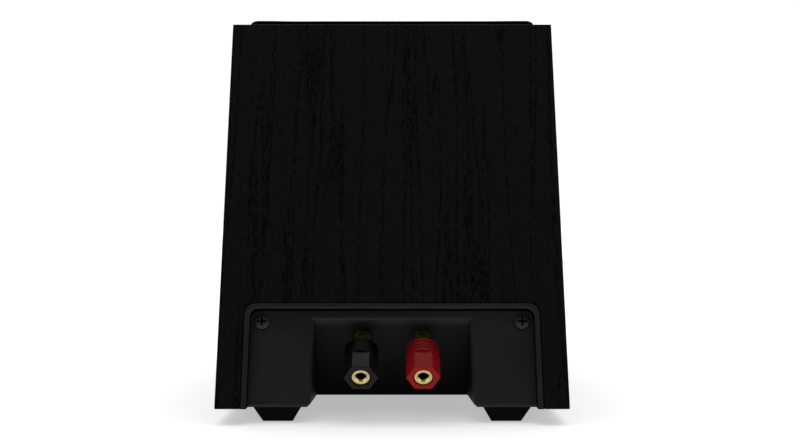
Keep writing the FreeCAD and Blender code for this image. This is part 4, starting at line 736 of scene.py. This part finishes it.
def foot_bore(height):
    """The tool that bores a foot of a height in millimetres for its screw; its mouth is chamfered."""
    seat, past = FOOT_BORE_DEPTH_MM - height, 1.0
    mouth = FOOT_BORE_MM + 0.5
    return lathe([
        (0.0, past), (FOOT_HOLE_MM, past), (FOOT_HOLE_MM, seat), (FOOT_BORE_MM, seat),
        (FOOT_BORE_MM, 0.4 - height), (mouth, -0.1 - height), (mouth, -past - height), (0.0, -past - height),
    ])


def make_feet():
    """Four square tapered rubber feet, each bored for its screw."""
    for side in ("left", "right"):
        for end in ("front", "rear"):
            node = f"{side}_{end}_foot"
            low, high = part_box(node)
            size = high - low
            block = tapered_block(size.x / 2, FOOT_TIP_MM * MM, size.z)
            bored = combined(block, foot_bore(size.z / MM), "DIFFERENCE")
            place = Matrix.Translation(((low.x + high.x) / 2, (low.y + high.y) / 2, high.z))
            settle(f"{node}_rubber", bored, FOOT_RUBBER, "cabinet", [node], place)


# ---------------------------------------------------------------- binding posts

THREAD_PITCH_MM = 0.7
THREAD_ROOT_MM = 3.7
THREAD_END_MM = 8.4
STUD_RADIUS_MM = 4.0
STUD_LENGTH_MM = 26.6
SOCKET_RADIUS_MM = 2.0
SOCKET_FLOOR_MM = 9.6
TAIL_RADIUS_MM = 2.0
TAIL_LENGTH_MM = 10.0
WIRE_HOLE_RADIUS_MM = 1.3
WIRE_HOLE_RISE_MM = 4.6
POST_SPREAD_MM = 13.25
POST_DROP_MM = 9.9
NUT_BORE_MM = 4.05
WASHER_RADIUS_MM = 6.4
INSERT_RADIUS_MM = 5.6
INSERT_TOP_MM = 21.4


def stud_profile():
    """The stud: a tail, a threaded foot, a plain barrel, a chamfered mouth and a 4 mm socket."""
    corners = [
        (0.0, -TAIL_LENGTH_MM, 0.0), (TAIL_RADIUS_MM - 0.3, -TAIL_LENGTH_MM, 0.2),
        (TAIL_RADIUS_MM, 0.5 - TAIL_LENGTH_MM, 0.0), (TAIL_RADIUS_MM, 0.0, 0.0),
        (THREAD_ROOT_MM + 0.05, 0.0, 0.2),
    ]
    height = 0.3
    while height < THREAD_END_MM:
        corners.append((THREAD_ROOT_MM, height, 0.0))
        corners.append((STUD_RADIUS_MM, height + THREAD_PITCH_MM * 0.45, 0.12))
        height += THREAD_PITCH_MM
    return softened(corners + [
        (THREAD_ROOT_MM, height, 0.0), (STUD_RADIUS_MM, height + 0.3, 0.1),
        (STUD_RADIUS_MM, STUD_LENGTH_MM - 0.25, 0.05), (STUD_RADIUS_MM - 0.25, STUD_LENGTH_MM, 0.1),
        (SOCKET_RADIUS_MM + 0.75, STUD_LENGTH_MM, 0.15), (SOCKET_RADIUS_MM, STUD_LENGTH_MM - 0.9, 0.15),
        (SOCKET_RADIUS_MM, SOCKET_FLOOR_MM, 0.0), (0.0, SOCKET_FLOOR_MM, 0.0),
    ])


def cross_hole():
    """The tool that drills the stud's wire hole."""
    bm = bmesh.new()
    rise = Matrix.Translation((0, 0, WIRE_HOLE_RISE_MM * MM))
    radius = WIRE_HOLE_RADIUS_MM * MM
    bmesh.ops.create_cone(bm, cap_ends=True, segments=40, radius1=radius, radius2=radius,
                          depth=3 * STUD_RADIUS_MM * MM, matrix=rise @ Matrix.Rotation(math.pi / 2, 4, "Y"))
    return bm


def washer_profile():
    """The clamp washer, just under the nut."""
    low, high = NUT_FOOT_MM - 0.85, NUT_FOOT_MM - 0.05
    return softened([
        (NUT_BORE_MM, low, 0.1), (WASHER_RADIUS_MM, low, 0.25),
        (WASHER_RADIUS_MM, high, 0.25), (NUT_BORE_MM, high, 0.1),
    ])


def insert_profile():
    """The brass insert inside the nut, with a countersunk top."""
    return softened([
        (NUT_BORE_MM, NUT_FOOT_MM, 0.1), (INSERT_RADIUS_MM, NUT_FOOT_MM, 0.0),
        (INSERT_RADIUS_MM, INSERT_TOP_MM, 0.0), (INSERT_RADIUS_MM - 0.6, INSERT_TOP_MM, 0.0),
        (NUT_BORE_MM + 0.65, INSERT_TOP_MM, 0.3), (NUT_BORE_MM, INSERT_TOP_MM - 0.4, 0.2),
    ])


def make_posts():
    """Both binding posts: stud, washer and insert; the moulded nuts stay as they are."""
    for colour, side in (("black", -1), ("red", 1)):
        place = moved(RECESS, side * POST_SPREAD_MM, -POST_DROP_MM)
        stud = combined(lathe(stud_profile(), 128), cross_hole(), "DIFFERENCE")
        settle(f"{colour}_stud_turned", stud, STUD_BRASS, "cabinet",
               [f"{colour}_post_stud"], place)
        settle(f"{colour}_washer_turned", lathe(washer_profile()), GOLD, f"{colour}_washer",
               [f"{colour}_clamp_washer"], place)
        settle(f"{colour}_insert_turned", lathe(insert_profile()), GOLD, f"{colour}_nut",
               [f"{colour}_nut_insert"], place)


# ---------------------------------------------------------------- drivers

SECTORS = 12


def ring_of_sectors(name, profile, finish, node, place):
    """A ring cut into sectors that each span from the frame outside to the moving part inside."""
    sweep = 360.0 / SECTORS
    for k in range(SECTORS):
        bm = lathe(profile, 10, k * sweep, sweep)
        made = settle(f"{name}_{k + 1:02d}", bm, finish, None, [node], place)
        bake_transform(made)


def roll_profile():
    """The surround's section: a lip on the basket, a half roll and a lip on the cone."""
    low, sheet, cone_lip, basket_lip = -1.6, 0.6, 37.2, 48.4
    centre, inside, outside, rise = 41.8, 2.6, 3.2, 2.9
    steps = [math.pi * k / 12 for k in range(13)]
    upper = [(centre + outside * math.cos(a), low + sheet + rise * math.sin(a)) for a in steps]
    lower = [(centre + inside * math.cos(a), low + rise * math.sin(a)) for a in steps]
    on_basket = [(basket_lip, low), (basket_lip, low + sheet)]
    on_cone = [(cone_lip, low + 0.05), (cone_lip, low + 0.05 - sheet)]
    return [Vector(point) for point in on_basket + upper + on_cone + lower[::-1]]


def waved_sheet(inner, outer, under, over, waves, height, steps):
    """The lower and the upper line of a sheet that waves between two radii."""
    lower, upper = [], []
    for k in range(steps + 1):
        share = k / steps
        radius = inner + (outer - inner) * share
        lift = height / 2 * (1 - math.cos(2 * math.pi * waves * share))
        lower.append((radius, under + lift))
        upper.append((radius, over + lift))
    return lower, upper


def spider_profile():
    """The spider's section: five waves between the coil and its flat seat."""
    low, sheet, coil, seat, rim = -27.0, 0.6, 12.95, 31.0, 36.2
    lower, upper = waved_sheet(coil, seat, low, low + sheet, 5, 1.2, 60)
    return [Vector(point) for point in lower + [(rim, low), (rim, low + sheet)] + upper[::-1]]


def dome_roll_profile():
    """The dome's surround: one small roll between the dome and the waveguide's throat."""
    low, sheet, dome, throat = -4.0, 0.35, 12.92, 14.18
    lower, upper = waved_sheet(dome, throat, low + 0.02, low + sheet, 1, 0.5, 16)
    return [Vector(point) for point in lower + upper[::-1]]


def make_suspension():
    """The drivers' surrounds and the woofer's spider, each built as a ring of sectors."""
    ring_of_sectors("surround_sector", roll_profile(), SURROUND_RUBBER,
                    "woofer_surround", WOOFER)
    ring_of_sectors("spider_sector", spider_profile(), SPIDER_CLOTH,
                    "woofer_spider", WOOFER)
    ring_of_sectors("dome_surround_sector", dome_roll_profile(), SURROUND_RUBBER,
                    "tweeter_surround", TWEETER)


# ---------------------------------------------------------------- soft pieces

GRILLE_HALF_WIDTH_MM = 68.0
GRILLE_START_MM = 7.0
GRILLE_TOP_MM = 6.15
GRILLE_LOW_MM = 0.2
GRILLE_CORNER_MM = 4.0
GRILLE_EDGE_MM = 1.2
GRILLE_DIP_MM = 0.12
GRILLE_RAIL_MM = 9.0  # the cloth lies on the frame's rail, and dips past it


def fold_lines(half):
    """Grid lines from -half to half, close together over the rounded edge."""
    edge = [half - GRILLE_EDGE_MM * (1 - math.sin(math.radians(a))) for a in (90, 67.5, 45, 22.5, 0)]
    corner = [half - 2.0, half - 3.0, half - GRILLE_CORNER_MM]
    inside = half - GRILLE_CORNER_MM
    count = round(2 * inside / 4.0)
    between = [-inside + 2 * inside * k / count for k in range(1, count)]
    return [-x for x in edge + corner] + between + (edge + corner)[::-1]


def fold_point(x, y, half_x, half_y):
    """Where a grid point of the cloth's top lies: rounded in plan at corners, bent down at the edge."""
    reach = max(abs(x) - half_x, abs(y) - half_y) + GRILLE_EDGE_MM
    drop = 0.0
    if reach > 0:
        drop = GRILLE_EDGE_MM - math.sqrt(max(GRILLE_EDGE_MM ** 2 - reach ** 2, 0.0))
    in_x = (abs(x) - half_x + GRILLE_CORNER_MM) / GRILLE_CORNER_MM
    in_y = (abs(y) - half_y + GRILLE_CORNER_MM) / GRILLE_CORNER_MM
    if in_x > 0 and in_y > 0:
        shrink = max(in_x, in_y) / math.hypot(in_x, in_y)
        x = math.copysign(half_x + GRILLE_CORNER_MM * (in_x * shrink - 1), x)
        y = math.copysign(half_y + GRILLE_CORNER_MM * (in_y * shrink - 1), y)
    return x, y, GRILLE_TOP_MM - drop


def make_grille_cloth():
    """The grille's cloth: one sheet stretched over the frame and folded down its four sides."""
    half_x = GRILLE_HALF_WIDTH_MM
    half_y = BAFFLE_LENGTH / MM / 2 - GRILLE_START_MM
    bm = bmesh.new()
    rows = []
    for y in fold_lines(half_y):
        rows.append([])
        for x in fold_lines(half_x):
            px, py, pz = fold_point(x, y, half_x, half_y)
            inside = min(1.0, max(0.0, (half_x - abs(px) - GRILLE_RAIL_MM) / 12.0))
            uneven = 1 - noise.noise(Vector((px, py, 0)) * 0.03)
            pz -= GRILLE_DIP_MM * inside * uneven
            rows[-1].append(bm.verts.new((px * MM, py * MM, pz * MM)))
    for low, high in zip(rows, rows[1:]):
        for k in range(len(low) - 1):
            bm.faces.new((low[k], low[k + 1], high[k + 1], high[k]))
    rim = [edge for edge in bm.edges if edge.is_boundary]
    for height in (3.6, 2.3, 1.2, GRILLE_LOW_MM + 0.05):
        made = bmesh.ops.extrude_edge_only(bm, edges=rim)["geom"]
        for vertex in [item for item in made if isinstance(item, bmesh.types.BMVert)]:
            vertex.co.z = height * MM
        rim = [item for item in made if isinstance(item, bmesh.types.BMEdge) and item.is_boundary
               and all(abs(vertex.co.z - height * MM) < 1e-7 for vertex in item.verts)]
    bmesh.ops.recalc_face_normals(bm, faces=bm.faces)
    middle = moved(BAFFLE, 0, GRILLE_START_MM + half_y)
    cloth = settle("grille_cloth_stretched", bm, GRILLE_FABRIC, "grille", ["grille_cloth"],
                   middle, smooth_angle=60)
    thickness = cloth.modifiers.new("thickness", "SOLIDIFY")
    thickness.thickness = 0.5 * MM
    thickness.offset = -1.0


def make_wadding():
    """The acoustic pad: crowned, pulled in at its edges, and flat against the back panel."""
    low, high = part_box("acoustic_pad")
    half_x, half_y = high.x / MM - 0.8, 34.2
    gap, rim, swell, panel = 0.4, 0.8, 13.6, 15.3
    columns, lines = 60, 42
    bm = bmesh.new()
    layers = []
    for side in (0, 1):
        layers.append([])
        for j in range(lines + 1):
            layers[-1].append([])
            for i in range(columns + 1):
                u, v = 2 * i / columns - 1, 2 * j / lines - 1
                crown = ((1 - abs(u) ** 5) * (1 - abs(v) ** 5)) ** 0.4
                pulled = 1 - 0.035 * (1 - v * v) * abs(u) ** 8
                lumps = 1 + 0.16 * noise.noise(Vector((u * 3.1, v * 2.3, 0.7))) * crown
                depth = gap + side * (rim + swell * crown * lumps)
                x = half_x * u * pulled * (1 - 0.012 * side)
                y = half_y * v * (1 - 0.04 * (1 - u * u) * abs(v) ** 8) * (1 - 0.012 * side)
                layers[-1][-1].append(bm.verts.new((x * MM, y * MM, -depth * MM)))
    for side, layer in enumerate(layers):
        for j in range(lines):
            for i in range(columns):
                corners = [layer[j][i], layer[j][i + 1], layer[j + 1][i + 1], layer[j + 1][i]]
                bm.faces.new(corners if side == 0 else corners[::-1])
    bmesh.ops.bridge_loops(bm, edges=[edge for edge in bm.edges if edge.is_boundary])
    bmesh.ops.recalc_face_normals(bm, faces=bm.faces)
    middle = REAR.inverted() @ ((low + high) / 2)
    place = moved(REAR, 0, middle.y / MM, -panel)
    pad = settle("acoustic_pad_wadding", bm, WADDING, "cabinet", ["acoustic_pad"], place, 60)


# ---------------------------------------------------------------- studio

def make_floor():
    """A wide plain floor under the feet."""
    bm = bmesh.new()
    bmesh.ops.create_grid(bm, x_segments=8, y_segments=8, size=40.0)
    mesh = bpy.data.meshes.new("studio_floor")
    bm.to_mesh(mesh)
    bm.free()
    made = bpy.data.objects.new("studio_floor", mesh)
    mesh.materials.append(pale_floor())
    bpy.context.scene.collection.objects.link(made)


def make_world():
    """A white studio: bright all round the horizon and in front, dim high up behind the cabinet."""
    world = bpy.data.worlds.new("studio")
    bpy.context.scene.world = world
    world.use_nodes = True
    tree = world.node_tree
    background = [node for node in tree.nodes if node.type == "BACKGROUND"][0]
    direction = tree.nodes.new("ShaderNodeTexCoord").outputs["Generated"]
    parts = tree.nodes.new("ShaderNodeSeparateXYZ")
    tree.links.new(direction, parts.inputs[0])

    def stepped(source, low, high, to_low=0.0, to_high=1.0):
        made = tree.nodes.new("ShaderNodeMapRange")
        made.interpolation_type = "SMOOTHSTEP"
        for key, value in (("From Min", low), ("From Max", high), ("To Min", to_low), ("To Max", to_high)):
            made.inputs[key].default_value = value
        tree.links.new(source, made.inputs["Value"])
        return made.outputs[0]

    high_up = stepped(parts.outputs[2], 0.12, 0.4)
    behind = stepped(parts.outputs[1], 0.45, -0.1)
    both = tree.nodes.new("ShaderNodeMath")
    both.operation = "MULTIPLY"
    tree.links.new(high_up, both.inputs[0])
    tree.links.new(behind, both.inputs[1])
    background.inputs["Color"].default_value = (1.0, 1.0, 1.0, 1.0)
    tree.links.new(stepped(both.outputs[0], 0.0, 1.0, 1.05, 0.12), background.inputs["Strength"])


def make_lights():
    """One broad overhead light, soft enough to leave only a contact shadow."""
    data = bpy.data.lights.new("overhead", "SUN")
    data.energy = 1.2
    data.angle = math.radians(75)
    made = bpy.data.objects.new("overhead", data)
    made.rotation_euler = (math.radians(-8), 0, 0)
    bpy.context.scene.collection.objects.link(made)


CAMERA_DISTANCE = 0.524
CAMERA_HEIGHT = 0.0856


def make_camera():
    """A level camera behind the cabinet, at the height of the back's middle."""
    data = bpy.data.cameras.new("camera")
    data.lens = 56.0
    data.sensor_width = 36.0
    data.shift_x = 0.0099
    made = bpy.data.objects.new("camera", data)
    made.location = (0.0, BACK_EDGE.y - CAMERA_DISTANCE, CAMERA_HEIGHT)
    made.rotation_euler = (math.pi / 2, 0, 0)
    bpy.context.scene.collection.objects.link(made)
    bpy.context.scene.camera = made


finish_nodes()
make_panels()
make_feet()
make_posts()
make_suspension()
make_grille_cloth()
make_wadding()
make_floor()
make_world()
make_lights()
make_camera()
bpy.context.scene.view_settings.view_transform = "Standard"
